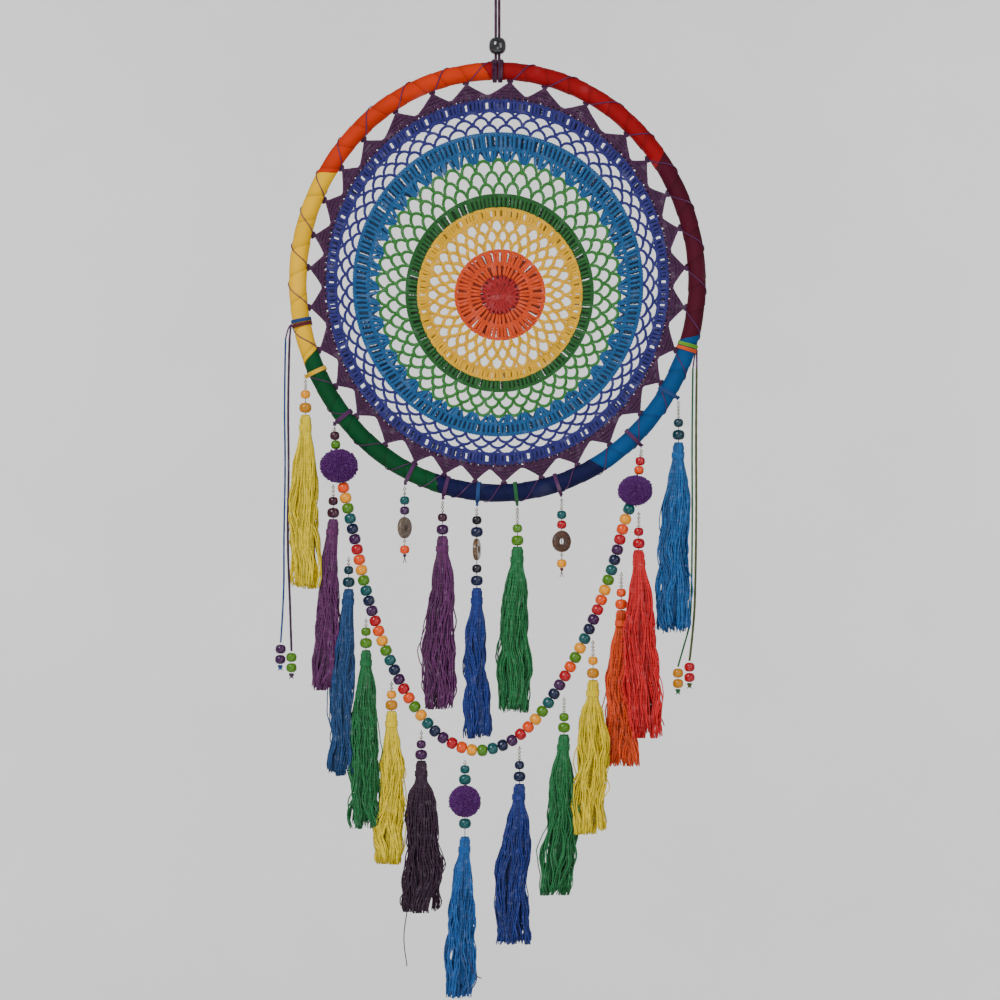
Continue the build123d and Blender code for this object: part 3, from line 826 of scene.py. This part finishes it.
def web_points(tips, rng):
    """The purple border: a row of stitches, then a closely worked shell to each point on the hoop."""
    blocks = [*worked(128.0, 130.6, 190, rng, points=6), braid(131.0, 200, 0.7)]
    share = np.linspace(0, 1, 15)
    following = tips[1:] + [tips[0] - TURN]
    before = [tips[-1] + TURN] + tips[:-1]
    strands, rims, rungs, loops = [], [], [], []
    for last, tip, after in zip(before, tips, following):
        left, right = (last + tip) / 2, (tip + after) / 2
        fan = []
        for f in np.linspace(0, 1, 13):
            x, z = oval(tip + (f - 0.5) * 0.03, -2 * TUBE_R - 0.2)
            head = np.array([float(x), 0.0, float(z)])
            foot = web_place(130.4, left + (right - left) * f)
            line = foot + (head - foot) * share[:, None]
            inward = unit(np.array([-head[0], 0.0, HOOP_Z - head[2]]))
            line = line + inward * (0.5 * np.sin(math.pi * share) * (2 * f - 1) ** 2)[:, None]
            line[:, 1] += FRONT * rng.normal(0, 0.35) * (1 - share)
            fan.append(line)
        strands += fan
        rims += [fan[0], fan[-1]]
        fan = np.array(fan)
        rungs += [fan[:, i] + [0.0, 0.7 * FRONT, 0.0] for i in (3, 6, 9)]
        about = np.linspace(-0.45, 0.45, 9)
        loops.append(on_tube(tip + 0.004 * np.sin(2 * about), about, TUBE_R + 0.45))
    # Every other strand of the fans takes the yarn painted in shade, which stands for the shade between the
    # strands.
    for slot in (0, 1):
        blocks.append(tubes(plied(np.array(strands[slot::2]), 0.42, 2.5), YARN_R * 0.9, 5, slot))
    blocks.append(tubes(plied(np.array(rims), 0.55, 4.0, count=3), YARN_R, 5))
    blocks.append(tubes(plied(np.array(rungs), 0.5, 4.0), YARN_R * 0.9, 5))
    blocks.append(tubes(np.array(loops), 0.5, 6))
    web_piece("purple", blocks)


# ---------------------------------------------------------------- beads

SEED_LIMIT = 4.0
STRAND_BORE = 0.62


def bead_blocks(places, bore, slots, axes=None):
    """Bead blocks for (centre, (width, length)) places, in the material slots given for them."""
    out = []
    for i, ((centre, (width, length)), slot) in enumerate(zip(places, slots)):
        axis = (0, 0, 1) if axes is None else axes[i]
        steps, segments = (8, 14) if width < SEED_LIMIT else (14, 26)
        outline = bead_outline(width, length, min(bore, width * 0.2), steps)
        out.append(ring_block(outline, centre, axis, segments, slot))
    return out


def string_beads(name, body, colours):
    """A strand's beads where the frame has them: silver seeds, and painted beads in the colours given."""
    materials = [SILVER] + [BEADS[c] for c in colours]
    places, slots, painted = [], [], 0
    for centre, (width, _, length) in islands(name + "_beads"):
        is_knot = abs(length - width) < 0.3 and width > 3
        if is_knot:
            continue
        places.append((centre, (width, length)))
        if width < SEED_LIMIT:
            slots.append(0)
        else:
            painted += 1
            slots.append(painted)
    obj = mesh_piece(name + "_bead_set", bead_blocks(places, STRAND_BORE, slots), materials)
    finish_piece(obj, body, [name + "_beads"])


def chain_order(points, start):
    """The order in which a thread from start runs through points, nearest first."""
    left = list(range(len(points)))
    here, order = np.asarray(start, float), []
    while left:
        nearest = min(left, key=lambda i: np.linalg.norm(points[i] - here))
        left.remove(nearest)
        order.append(nearest)
        here = points[nearest]
    return order


GARLAND_ROUND = "oylTNPR" * 3 + "olyTNPR" + "oylTNPR" * 2 + "olyTNPR" + "oylTNPR" + "oyT"
GARLAND_KEYS = {
    "o": "orange", "y": "yellow", "l": "lime", "T": "teal", "N": "navy", "P": "purple", "R": "red",
}
GARLAND_ROUTE = [
    (-0.1206, -0.3860), (-0.1136, -0.4200), (-0.1054, -0.4560), (-0.0979, -0.4920), (-0.0844, -0.5325),
    (-0.0656, -0.5715), (-0.0431, -0.5985), (-0.0169, -0.6098), (0.0094, -0.6030), (0.0319, -0.5820),
    (0.0551, -0.5453), (0.0746, -0.5048), (0.0881, -0.4650), (0.0949, -0.4365), (0.1042, -0.4120),
]
POMPOM_BEADS = ["maroon", "lime", "red", "orange"]


def highest(points):
    return points[points[:, 2].argmax()]


def garland_strings(centres, small):
    """The painted beads above the two pompoms, from the top down, and those of the U in order."""
    (left, _), (right, _) = sorted(islands("garland_pompoms"), key=lambda item: item[0][0])
    large = [i for i in range(len(centres)) if not small[i]]
    ends = [i for i in large if centres[i][0] < 0 and centres[i][2] > left[2] - 2]
    ends += [i for i in large if centres[i][0] > right[0] and centres[i][2] > right[2]]
    string = [i for i in large if i not in ends]
    return ends, [string[k] for k in chain_order([centres[i] for i in string], left)]


def garland():
    """The garland's beads in order along its thread, the beads above its pompoms, and the thread itself."""
    everything = islands("garland_beads")
    centres = np.array([centre for centre, _ in everything])
    small = [size.max() < SEED_LIMIT for _, size in everything]
    ends, order = garland_strings(centres, small)
    colours = sorted(set(GARLAND_KEYS.values()) | set(POMPOM_BEADS))
    materials = [SILVER] + [BEADS[c] for c in colours]
    line = centres[order]
    along = unit(np.gradient(line, axis=0))
    slots = [1 + colours.index(GARLAND_KEYS[k]) for k in GARLAND_ROUND[: len(line)]]
    blocks = bead_blocks([(c, (9.1, 7.8)) for c in line], 0.95, slots, along)
    end_slots = [1 + colours.index(c) for c in POMPOM_BEADS[: len(ends)]]
    blocks += bead_blocks([(centres[i], (7.4, 6.6)) for i in ends], STRAND_BORE, end_slots)
    seeds = [(centre, (2.7, 2.2)) for centre, is_small in zip(centres, small) if is_small]
    blocks += bead_blocks(seeds, 0.5, [0] * len(seeds))
    obj = mesh_piece("garland_bead_string", blocks, materials)
    finish_piece(obj, "garland", ["garland_beads"])
    cloud = node_points("garland_cord")
    left_end = highest(cloud[cloud[:, 0] < 0]) * MM
    right_end = highest(cloud[cloud[:, 0] > 0]) * MM
    route = [(left_end[0], left_end[2]), *GARLAND_ROUTE, (right_end[0], right_end[2])]
    path = spline_points("garland_route", [(x, 0.0, z) for x, z in route])
    thread = mesh_piece("garland_thread", [tubes(plied(path, 0.22, 240), 0.28, 5)], [THREADS["plum"]])
    finish_piece(thread, "garland", ["garland_cord"])


def spline_curve(name, points):
    """A curve object of one smooth open spline with these control points, in metres."""
    curve = bpy.data.curves.new(name, "CURVE")
    curve.dimensions = "3D"
    curve.resolution_u = 12
    spline = curve.splines.new("NURBS")
    spline.points.add(len(points) - 1)
    for point, co in zip(spline.points, points):
        point.co = (*co, 1.0)
    spline.order_u = 3
    spline.use_endpoint_u = True
    return add_object(name, curve)


def spline_points(name, points):
    """Points along such a spline, in millimetres, evenly spaced."""
    obj = spline_curve(name, points)
    depsgraph = bpy.context.evaluated_depsgraph_get()
    mesh = bpy.data.meshes.new_from_object(obj.evaluated_get(depsgraph))
    line = np.array([v.co for v in mesh.vertices]) / MM
    bpy.data.objects.remove(obj)
    bpy.data.meshes.remove(mesh)
    steps = np.concatenate([[0], np.cumsum(np.linalg.norm(np.diff(line, axis=0), axis=1))])
    even = np.linspace(0, steps[-1], int(steps[-1] / 0.6) + 2)
    return np.stack([np.interp(even, steps, line[:, i]) for i in range(3)], -1)


# ---------------------------------------------------------------- pompoms

WOOL_COLOUR = srgb(92, 0, 116)
TUFTS = 4200


def pompom(name, node, body, centre, size, colour, rng):
    """A cut-wool pompom: a dark core and a thick coat of tufts that end at an uneven round."""
    k = np.arange(TUFTS) + 0.5
    polar = np.arccos(1 - 2 * k / TUFTS)
    about = math.pi * (1 + 5 ** 0.5) * k
    direction = np.stack([np.cos(about) * np.sin(polar), np.sin(about) * np.sin(polar), np.cos(polar)], -1)
    direction = unit(direction + rng.normal(0, 0.05, direction.shape))
    half = np.array([size[0], size[0], size[2]]) / 2
    reach = rng.normal(0.99, 0.018, (TUFTS, 1))
    share = np.array([0.55, 0.8, 0.93, 1.0])
    bend = rng.normal(0, 0.035, (TUFTS, 1, 3)) * (share[None, :, None] ** 3)
    line = centre + half * (direction * reach)[:, None] * share[None, :, None] + half * bend
    radii = np.array([0.3, 0.4, 0.42, 0.3])
    core_turn = np.linspace(-math.pi / 2, math.pi / 2, 12)
    core = np.stack([half[0] * 0.86 * np.cos(core_turn), half[2] * 0.86 * np.sin(core_turn)], -1)
    core[0, 0] = core[-1, 0] = 0.6
    blocks = [tubes(line, radii, 5), ring_block(core, centre, (0, 0, 1), 24)]
    wool = yarn("wool_" + name, colour, pitch=3.0, roughness=0.95, depth=0.3, patch=420)
    obj = mesh_piece(name, blocks, [wool])
    finish_piece(obj, body, [node])


# ---------------------------------------------------------------- tassels

# Strand -> (tassel colour, bead colours from the top, share of the frame's width, crimp, loose strands).
STRANDS = {
    "yellow_left": ("yellow", ["yellow", "gold"], 1.2, 0.5, 5),
    "violet_upper": ("violet", ["maroon", "purple"], 1.0, 1.1, 10),
    "blue_upper": ("deep_blue", ["black", "navy", "black", "navy"], 1.0, 0.7, 6),
    "green_upper": ("green", ["lime", "lime"], 1.02, 0.8, 6),
    "azure_right": ("sea_blue", ["dark_teal", "dark_teal"], 1.08, 0.9, 8),
    "violet_low": ("violet", ["maroon", "maroon"], 1.1, 0.8, 5),
    "blue_low": ("blue", ["dark_teal", "dark_teal"], 1.12, 0.8, 5),
    "green_low": ("green", ["lime", "lime"], 1.2, 1.1, 10),
    "yellow_low": ("yellow", ["yellow", "gold"], 1.15, 0.7, 10),
    "plum_low": ("plum", ["purple", "purple"], 1.1, 0.9, 10),
    "azure_low": ("azure", ["teal", "teal", "teal"], 1.1, 0.8, 8),
    "royal_low": ("royal", ["navy", "navy"], 1.0, 0.7, 6),
    "green_right": ("green", ["lime", "lime"], 1.0, 0.8, 6),
    "yellow_right": ("yellow", ["yellow", "gold"], 1.1, 0.7, 9),
    "orange_right": ("orange", ["orange", "orange"], 1.1, 0.7, 6),
    "red_right": ("red", ["red", "red"], 1.1, 0.7, 8),
}
STRAND_COUNT = 170
STRAND_R = 0.55
STRAND_POINTS = 40
CLUMPS = 16
GOLDEN_ANGLE = 2.399963
NECK = 10.0  # from the yarn's top to the end of its bound neck
BIND_TURNS = 6


def tassel_frame(node):
    """A tassel's thread and its yarn from the frame: thread (x, top), yarn's top, ends and widths."""
    cloud = node_points(node)
    top = cloud[:, 2].max()
    x = cloud[cloud[:, 2] > top - 0.5][:, 0].mean()
    yarn_top = cloud[np.hypot(cloud[:, 0] - x, cloud[:, 1]) > 1.5][:, 2].max()
    end = cloud[:, 2].min()
    last = cloud[cloud[:, 2] < end + 0.5]
    skirt = last[:, 0].max() - last[:, 0].min()
    foot = (last.max(0) + last.min(0)) / 2
    upper = cloud[(cloud[:, 2] > yarn_top - 11) & (cloud[:, 2] < yarn_top + 0.1)]
    neck = upper[:, 0].max() - upper[:, 0].min()
    return x, top, yarn_top, end, foot, skirt, neck


def waves(rng, count, share, cycles, octaves=3):
    """Smooth random wandering along the share of a strand, two numbers across it, for count strands."""
    out = np.zeros((count, len(share), 2))
    for k in range(octaves):
        rate = cycles * (1 + 0.7 * k) * rng.uniform(0.75, 1.25, (count, 1, 2))
        phase = rng.uniform(0, TURN, (count, 1, 2))
        out += np.sin(TURN * rate * share[None, :, None] + phase) / (1 + k)
    return out / 1.6


def tassel_widths(neck, skirt, fullness, length):
    """Half the width of a tassel at stations down its length, as (stations, half widths)."""
    neck_share = NECK / length
    stations = [0, 0.012, neck_share, neck_share * 1.6, 0.2, 0.34, 0.7, 0.95, 1.0]
    upper = [neck * w / 2 for w in (0.6, 0.9, 0.86, 1.0)]
    lower = skirt * fullness * np.array([0.6, 0.8, 0.97, 1.02, 0.96])
    return stations, upper + [w / 2 for w in lower]


def tassel_strands(x, yarn_top, length, foot, widths, crimp, rng):
    """The strands' lines, in clumps that wander together, and each strand's place across the tassel."""
    s = np.linspace(0, 1, STRAND_POINTS)
    k = np.arange(STRAND_COUNT) + 0.5
    spread = np.sqrt(k / STRAND_COUNT)
    about = k * GOLDEN_ANGLE
    unit_x, unit_y = spread * np.cos(about), spread * np.sin(about)
    seeds = rng.uniform(-0.9, 0.9, (CLUMPS, 2))
    own = np.argmin((unit_x[:, None] - seeds[:, 0]) ** 2 + (unit_y[:, None] - seeds[:, 1]) ** 2, axis=1)
    clump_wander = waves(rng, CLUMPS, s, 1.7)[own]
    clump_length = rng.normal(0, 0.02, CLUMPS)[own]
    shorter = np.abs(rng.normal(0, 0.026, STRAND_COUNT))
    reach = np.minimum(1.015, 1.01 + 1.3 * clump_length - shorter)
    t = s[None] * reach[:, None]
    neck_share = NECK / length
    profile = np.interp(t, *widths)
    depth_share = np.interp(t, [0, neck_share, 0.3, 1], [1, 1, 0.72, 0.68])
    ease = np.clip((t - neck_share) / 0.5, 0, 1)
    wander = clump_wander * (2.7 * ease)[..., None]
    fine = waves(rng, STRAND_COUNT, s, 4.6) * (0.85 * crimp * np.clip((t - 0.08) * 4, 0, 1))[..., None]
    gather = np.interp(t, [0, 0.3, 0.7, 1.0], [0.0, 0.06, 0.14, 0.26])
    across = unit_x[:, None] + gather * (seeds[own, 0] - unit_x)[:, None]
    deep = unit_y[:, None] + gather * (seeds[own, 1] - unit_y)[:, None]
    sway = 1.5 * ease * np.sin(TURN * (0.9 * t + rng.random()))
    centre_x = x + (foot[0] - x) * t + sway
    centre_y = foot[1] * np.minimum(1.0, 3 * t)
    px = centre_x + profile * across + wander[..., 0] + fine[..., 0]
    py = centre_y + profile * depth_share * deep + wander[..., 1] * 0.6 + fine[..., 1] * 0.8
    return np.stack([px, py, yarn_top - length * t], -1), unit_x, unit_y


def stray_strands(lines, unit_x, unit_y, loose, rng):
    """A few strands again, bowed outwards from the tassel's lower part."""
    s = np.linspace(0, 1, STRAND_POINTS)
    stray = rng.choice(STRAND_COUNT, loose, replace=False)
    out = unit(np.stack([unit_x[stray], unit_y[stray] * 0.5, 0 * unit_x[stray]], -1))
    bow = np.sin(math.pi * np.clip((s - 0.35) / 0.65, 0, 1)) ** 0.8
    push = (2.2 + 1.6 * rng.random((loose, 1))) * bow
    ripple = waves(rng, loose, s, 3.0)[..., [0, 1, 1]] * [0.7, 0.5, 0.0]
    return lines[stray] + (out[:, None] * push[..., None] + ripple)


def tassel_heart(x, yarn_top, length, foot, widths):
    """The bundle of yarn inside a tassel, in the tassel's colour darkened as painted shade, which closes the
    gaps between its strands.
    """
    s = np.linspace(0.01, 0.93, 16)
    line = np.stack([x + (foot[0] - x) * s, foot[1] * np.minimum(1, 3 * s), yarn_top - length * s], -1)
    radius = np.interp(s, [0, 0.2, 0.93], [0.8, 0.7, 0.4]) * np.interp(s, *widths)
    return tubes(line, radius, 16, 1, flat=0.75, ref=(1, 0, 0))


def tassel_binding(x, yarn_top, length, foot, neck):
    """The yarn wound round a tassel's neck."""
    share = np.linspace(0, 1, BIND_TURNS * 24)
    z = yarn_top - 7.4 - 4.2 * share
    radius = neck * 0.46 + 0.5
    turn = TURN * BIND_TURNS * share
    middle = x + (foot[0] - x) * (yarn_top - z) / length
    return tubes(np.stack([middle + radius * np.cos(turn), radius * np.sin(turn), z], -1), 0.42, 6)


def tassel(name, look, rng):
    """A tassel of loose viscose strands under its bound neck, with the thread that carries it."""
    colour, _, fullness, crimp, loose = look
    node = name + "_tassel"
    x, top, yarn_top, end, foot, skirt, neck = tassel_frame(node)
    length = yarn_top - end
    widths = tassel_widths(neck, skirt, fullness, length)
    lines, unit_x, unit_y = tassel_strands(x, yarn_top, length, foot, widths, crimp, rng)
    radii = STRAND_R * np.interp(np.linspace(0, 1, STRAND_POINTS), [0, 0.97, 1], [1, 1, 0.6])
    dull = rng.random(STRAND_COUNT) < 0.35
    thread = np.stack([np.full(30, x), np.zeros(30), np.linspace(top, yarn_top - 2, 30)], -1)
    blocks = [
        tubes(lines[~dull], radii, 5),
        tubes(lines[dull], radii, 5, 3),
        tubes(stray_strands(lines, unit_x, unit_y, loose, rng), STRAND_R * 0.8, 5),
        tassel_heart(x, yarn_top, length, foot, widths),
        tassel_binding(x, yarn_top, length, foot, neck),
        tubes(plied(thread, 0.18, 9), 0.24, 5, 2),
    ]
    if name in EXTRA_THREADS:
        blocks += EXTRA_THREADS[name](x, yarn_top, end)
    body = TASSEL_COLOURS[colour]
    # Painted shade: the heart's yarn is the tassel's colour at 0.55, for the shade inside the tassel.
    materials = [
        yarn("tassel_" + name, body, pitch=2.6, roughness=0.6, depth=0.5, patch=260),
        yarn("heart_" + name, shade(body, 0.55), pitch=3.0),
        THREADS["plum"],
        yarn("dull_" + name, shade(body, 0.62), pitch=2.6, roughness=0.7, depth=0.5, patch=260),
    ]
    obj = mesh_piece(name + "_yarn_tassel", blocks, materials)
    finish_piece(obj, name + "_strand", [node])


def plum_thread(x, top, end):
    """The one dark thread that hangs far below the plum tassel."""
    z = np.linspace(end + 22, end - 42, 40)
    sway = np.sin(np.linspace(0, 7, 40)) * 1.4
    return [tubes(np.stack([x - 11.5 + sway, FRONT * (2.5 + 0 * z), z], -1), 0.42, 5, 2)]


def azure_thread(x, top, end):
    """A dark thread that curls out of the lowest tassel's end."""
    t = np.linspace(0, 1, 30)
    line = np.stack([x + 0.5 + 12 * t ** 2, FRONT * (3.0 + 2 * t), end + 36 - 22 * t + 3 * np.sin(6 * t)], -1)
    return [tubes(line, 0.42, 5, 2)]


def looped_thread(x, top, end):
    """A loose strand that bows out at one side of the tassel and goes back in."""
    t = np.linspace(0, 1, 36)
    line = np.stack([x - 6 - 8.5 * np.sin(math.pi * t), FRONT * (1.0 + 2 * np.sin(math.pi * t)),
                     top - 36 - 46 * t + 2 * np.sin(9 * t)], -1)
    return [tubes(line, 0.42, 5, 1)]


EXTRA_THREADS = {"plum_low": plum_thread, "azure_low": azure_thread, "azure_right": looped_thread}


# ---------------------------------------------------------------- coconut rings and charms

def coconut_piece(name, light, dark):
    """A coconut ring: a flat turned disc with soft edges and a slightly uneven thickness."""
    turn = disc_turn(name)
    low, high = span([name])
    centre = (low + high) / 2
    radius = (high[2] - low[2]) / 2
    hole, half, soft, lip = 2.6, 1.7, 1.0, 0.7
    corner = np.linspace(0, math.pi / 2, 6)
    outer = [(radius - soft + soft * math.cos(a), half - soft + soft * math.sin(a)) for a in corner]
    inner = [(hole + lip - lip * math.sin(a), half - lip + lip * math.cos(a)) for a in corner]
    top = outer + [(0.6 * radius, half), (0.45 * radius, half)] + inner
    outline = top + [(r, -h) for r, h in reversed(top)]
    axis = (-math.sin(turn), math.cos(turn), 0.0)
    block = ring_block(outline, centre, axis, 56)
    points = np.asarray(block[0]).reshape(-1, 3)
    away = points - centre
    wave = np.sin(3 * np.arctan2(away[:, 2], away[:, 0] + away[:, 1]) + turn)
    points = centre + away * (1 + 0.012 * wave)[:, None]
    obj = mesh_piece(name + "_shell", [(points, *block[1:])], [coconut("shell_" + name, light, dark)])
    finish_piece(obj, name, [name])


def disc_turn(node):
    """How far a coconut ring is turned about the vertical, from the shape of its face."""
    cloud = node_points(node)[:, :2]
    cloud = cloud - (cloud.min(0) + cloud.max(0)) / 2
    values, vectors = np.linalg.eigh(cloud.T @ cloud)
    wide = vectors[:, np.argmax(values)]
    return math.atan2(wide[1], wide[0])


COCONUTS = {
    "blue_upper_ring": ((120, 84, 50), (54, 34, 20)),
    "left_charm_ring": ((128, 108, 92), (70, 52, 42)),
    "right_charm_ring": ((96, 58, 34), (36, 20, 12)),
}
CHARM_BEADS = {"left_charm": ["teal", "purple", "orange"], "right_charm": ["teal", "red", "yellow"]}


def charm(name):
    """A charm's beads, and its thread with a knot and a split tail below them."""
    string_beads(name, name, CHARM_BEADS[name])
    cloud = node_points(name + "_thread")
    x, top, end = cloud[:, 0].mean(), cloud[:, 2].max(), cloud[:, 2].min()
    line = np.stack([np.full(60, x), np.zeros(60), np.linspace(top, end + 5, 60)], -1)
    blocks = [tubes(plied(line, 0.16, 16), 0.22, 5)]
    wide = cloud[np.abs(cloud[:, 0] - x) > 0.9]
    knot_z = (wide[:, 2].min() + wide[:, 2].max()) / 2
    blocks.append(tubes(knot_path(np.array([x, 0.0, knot_z]), 1.1), 0.42, 6))
    t = np.linspace(0, 1, 14)
    for side in (-1, 1):
        tail = np.stack([x + side * 1.3 * t ** 1.4, 0.3 * side * t, knot_z - 1 - (knot_z - end - 1) * t], -1)
        blocks.append(tubes(tail, 0.3, 5))
    thread = THREADS["plum" if name == "left_charm" else "dark_red"]
    obj = mesh_piece(name + "_thread_tail", blocks, [thread])
    finish_piece(obj, name, [name + "_thread"])


# ---------------------------------------------------------------- hanging cord and side cords

HANG_SIDE = [(0.0013, -0.0905), (0.0013, -0.0400), (0.0080, -0.0200), (0.0080, -0.0011)]
HANG_LEG = (0.0013, -0.0540)
HANG_COLOUR = srgb(66, 12, 54)


def hanging_hitch(lace):
    """The cord's turns round the hoop, the bar that holds them and its two legs up to the bead."""
    blocks = []
    about = np.linspace(0, TURN, 49)
    top = math.pi / 2
    for side in (-1, 1):
        for k, across in enumerate((1.5, 3.3)):
            angle = top - side * across / (HOOP_B - TUBE_R) + 0 * about
            path = on_tube(angle, about, TUBE_R + 1.35)
            blocks.append(tubes(path, 1.0, 8, flat=0.85, ref=(1, 0, 0)))
    x, z = oval(top, 1.9)
    t = np.linspace(-1, 1, 21)
    bar = np.stack([4.2 * t, FRONT * (3.6 - 1.2 * t ** 2), z - 1.7 - 0.5 * t ** 2], -1)
    blocks.append(tubes(bar, 1.15, 8))
    for side in (-1, 1):
        leg = np.stack([side * (1.3 + 0.5 * (1 - t) ** 2 / 4), FRONT * (1.1 - 1.1 * t), z + 1.2 * t], -1)
        blocks.append(tubes(leg, 1.05, 8))
    hitch = mesh_piece("hanging_hitch", blocks, [lace])
    finish_piece(hitch, "hanger", ())


def hanging_cord():
    """The suede hanging cord with its loop, the hitch round the hoop and the black bead."""
    right = [HANG_SIDE[0], HANG_LEG, *HANG_SIDE[1:]]
    points = [(-x, 0.0, z) for x, z in right] + [(x, 0.0, z) for x, z in reversed(right)]
    obj = spline_curve("hanging_cord_lace", points)
    obj.data.bevel_depth = 1.05 * MM
    obj.data.bevel_resolution = 3
    lace = suede("suede", HANG_COLOUR)
    obj.data.materials.append(lace)
    finish_piece(obj, "hanger", ["hanging_cord"])
    low, high = span(["hanging_bead"])
    outline = bead_outline(high[0] - low[0], high[2] - low[2], 2.6, 22)
    block = ring_block(outline, (low + high) / 2, (0, 0, 1), 40)
    bead = mesh_piece("hanging_bead_lacquered", [block], [lacquer("black_lacquer", srgb(8, 8, 16))])
    finish_piece(bead, "hanger", ["hanging_bead"])
    hanging_hitch(lace)


END_BEADS = {"left": ("purple", "lime"), "right": ("gold", "red")}


def end_knot(name, knot, thread):
    """The knot under a cord's end beads, with its two cut tails."""
    blocks = [tubes(knot_path(knot, 1.5), 0.62, 6)]
    t = np.linspace(0, 1, 12)
    for way in (-1, 1):
        tail = knot + np.stack([way * 1.6 * t, 0.4 * way * t, -1 - 1.6 * t ** 1.5], -1)
        blocks.append(tubes(tail, 0.4, 5))
    return mesh_piece(name, blocks, [thread])


def side_cords(side):
    """The loose cords at one side of the hoop, twisted of three plies, with their end beads and knots."""
    body = side + "_cords"
    bead_node = side + "_cord_beads"
    solids = sorted(islands(bead_node), key=lambda item: item[0][0])
    columns = [solids[:3], solids[3:]]
    for colour, radius, route in SIDE_CORDS[side]:
        points = [(x, 0.0, z) for x, z in route]
        line = spline_points("side_route", points)
        length = np.linalg.norm(np.diff(line, axis=0), axis=1).sum()
        thread = THREADS[colour]
        obj = mesh_piece(f"{side}_cord_{colour}", [three_ply(line, radius, length / 5.5)], [thread])
        finish_piece(obj, body, [side + "_side_cord"])
        end_x = line[-1][0]
        column = min(columns, key=lambda c: abs(np.mean([centre[0] for centre, _ in c]) - end_x))
        places = [(centre, (8.0, 7.0)) for centre, size in column if size[2] > 5]
        knot = next(centre for centre, size in column if size[2] <= 5)
        beads = BEADS[END_BEADS[side][0 if column is columns[0] else 1]]
        bead_obj = mesh_piece(f"{side}_{colour}_end_beads", bead_blocks(places, 0.9, [0, 0]), [beads])
        finish_piece(bead_obj, body, [bead_node])
        knot_obj = end_knot(f"{side}_{colour}_end_knot", knot, thread)
        finish_piece(knot_obj, body, ())


# ---------------------------------------------------------------- the object

def build():
    """Every piece in turn; the order fixes the random numbers that each one draws."""
    rng = np.random.default_rng(11)
    hanging_cord()
    side_cords("left")
    side_cords("right")
    for colour in RIBBON_COLOURS:
        ribbon(colour)
    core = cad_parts["hoop_core"]
    core.data.materials.clear()
    core.data.materials.append(wire_steel("steel_wire"))
    tips = web_tips()
    lashing(tips)
    ties()
    web_inner(rng)
    web_outer(rng)
    web_points(tips, rng)
    garland()
    pompoms = sorted(islands("garland_pompoms"), key=lambda item: item[0][0])
    for (centre, size), name in zip(pompoms, ("left", "right")):
        pompom("pompom_" + name, "garland_pompoms", "garland", centre, size, WOOL_COLOUR, rng)
    centre, size = islands("azure_low_pompom")[0]
    pompom("pompom_low", "azure_low_pompom", "azure_low_strand", centre, size, WOOL_COLOUR, rng)
    for name, look in STRANDS.items():
        string_beads(name, name + "_strand", look[1])
        tassel(name, look, rng)
    for name, (light, dark) in COCONUTS.items():
        coconut_piece(name, srgb(*light), srgb(*dark))
    charm("left_charm")
    charm("right_charm")


# ---------------------------------------------------------------- studio

VIEW_WIDTH = 0.75
VIEW_CENTRE = (0.0019, -0.420)
VIEW_DISTANCE = 3.4
SENSOR = 36.0
BACK_Y = 6.0
BACK_TOP = 6.0
BACK_BEND = 0.5
BACK_REACH = 9.0
FLOOR_Z = -1.8
PAPER_TONES = [(0.3, (0.86, 0.86, 0.86)), (0.7, (0.9, 0.9, 0.9))]
OBJECT_MIDDLE = (0, 0, -0.45)
WALL_MIDDLE = (0, BACK_Y, -0.3)
LIGHTS = [
    # name, place, size, power, aim
    ("key", (-1.4, -2.2, 1.0), 1.3, 62, OBJECT_MIDDLE),
    ("fill", (1.9, -2.0, 0.1), 1.6, 20, OBJECT_MIDDLE),
    ("low_fill", (0.2, -2.4, -0.9), 1.2, 9, OBJECT_MIDDLE),
    ("wash_left", (-3.0, 3.5, 0.5), 1.2, 70, WALL_MIDDLE),
    ("wash_right", (3.0, 3.5, 0.5), 1.2, 70, WALL_MIDDLE),
]


def place_camera():
    """The camera in front of the object, looking straight back at it."""
    camera = bpy.data.cameras.new("camera")
    camera.sensor_width = SENSOR
    camera.lens = SENSOR * VIEW_DISTANCE / VIEW_WIDTH
    camera.clip_end = 50
    obj = add_object("camera", camera)
    obj.location = (VIEW_CENTRE[0], -VIEW_DISTANCE, VIEW_CENTRE[1])
    obj.rotation_euler = (math.pi / 2, 0, 0)
    bpy.context.scene.camera = obj


def place_backdrop():
    """A pale floor that runs up into a wall behind the object."""
    turn = np.linspace(0, math.pi / 2, 13)
    curve = [(BACK_Y - BACK_BEND + BACK_BEND * math.sin(a), FLOOR_Z + BACK_BEND - BACK_BEND * math.cos(a))
             for a in turn]
    outline = [(-BACK_REACH, FLOOR_Z), *curve, (BACK_Y, BACK_TOP)]
    points = np.array([[(x, y, z) for y, z in outline] for x in (-BACK_REACH, BACK_REACH)]) / MM
    number = np.arange(2 * len(outline)).reshape(2, -1)
    quads = np.stack([number[0, :-1], number[1, :-1], number[1, 1:], number[0, 1:]], -1)
    paper = Shader("paper", 0.9)
    paper.colour(paper.ramp(paper.noise(3), PAPER_TONES))
    uv = np.zeros((len(quads), 4, 2))
    sweep = mesh_piece("backdrop", [(points, [quads], [uv], 0)], [paper.material])


def place_lights():
    """Soft lights on the object and on the wall, and an even white surround."""
    for name, place, size, power, aim in LIGHTS:
        light = bpy.data.lights.new(name, "AREA")
        light.size = size
        light.energy = power
        obj = add_object(name, light)
        obj.location = place
        obj.rotation_euler = (Vector(aim) - Vector(place)).to_track_quat("-Z", "Y").to_euler()
    world = bpy.data.worlds.new("studio")
    world.use_nodes = True
    background = world.node_tree.nodes["Background"]
    background.inputs["Color"].default_value = (1, 1, 1, 1)
    background.inputs["Strength"].default_value = 0.4
    bpy.context.scene.world = world


place_camera()
place_backdrop()
place_lights()
build()
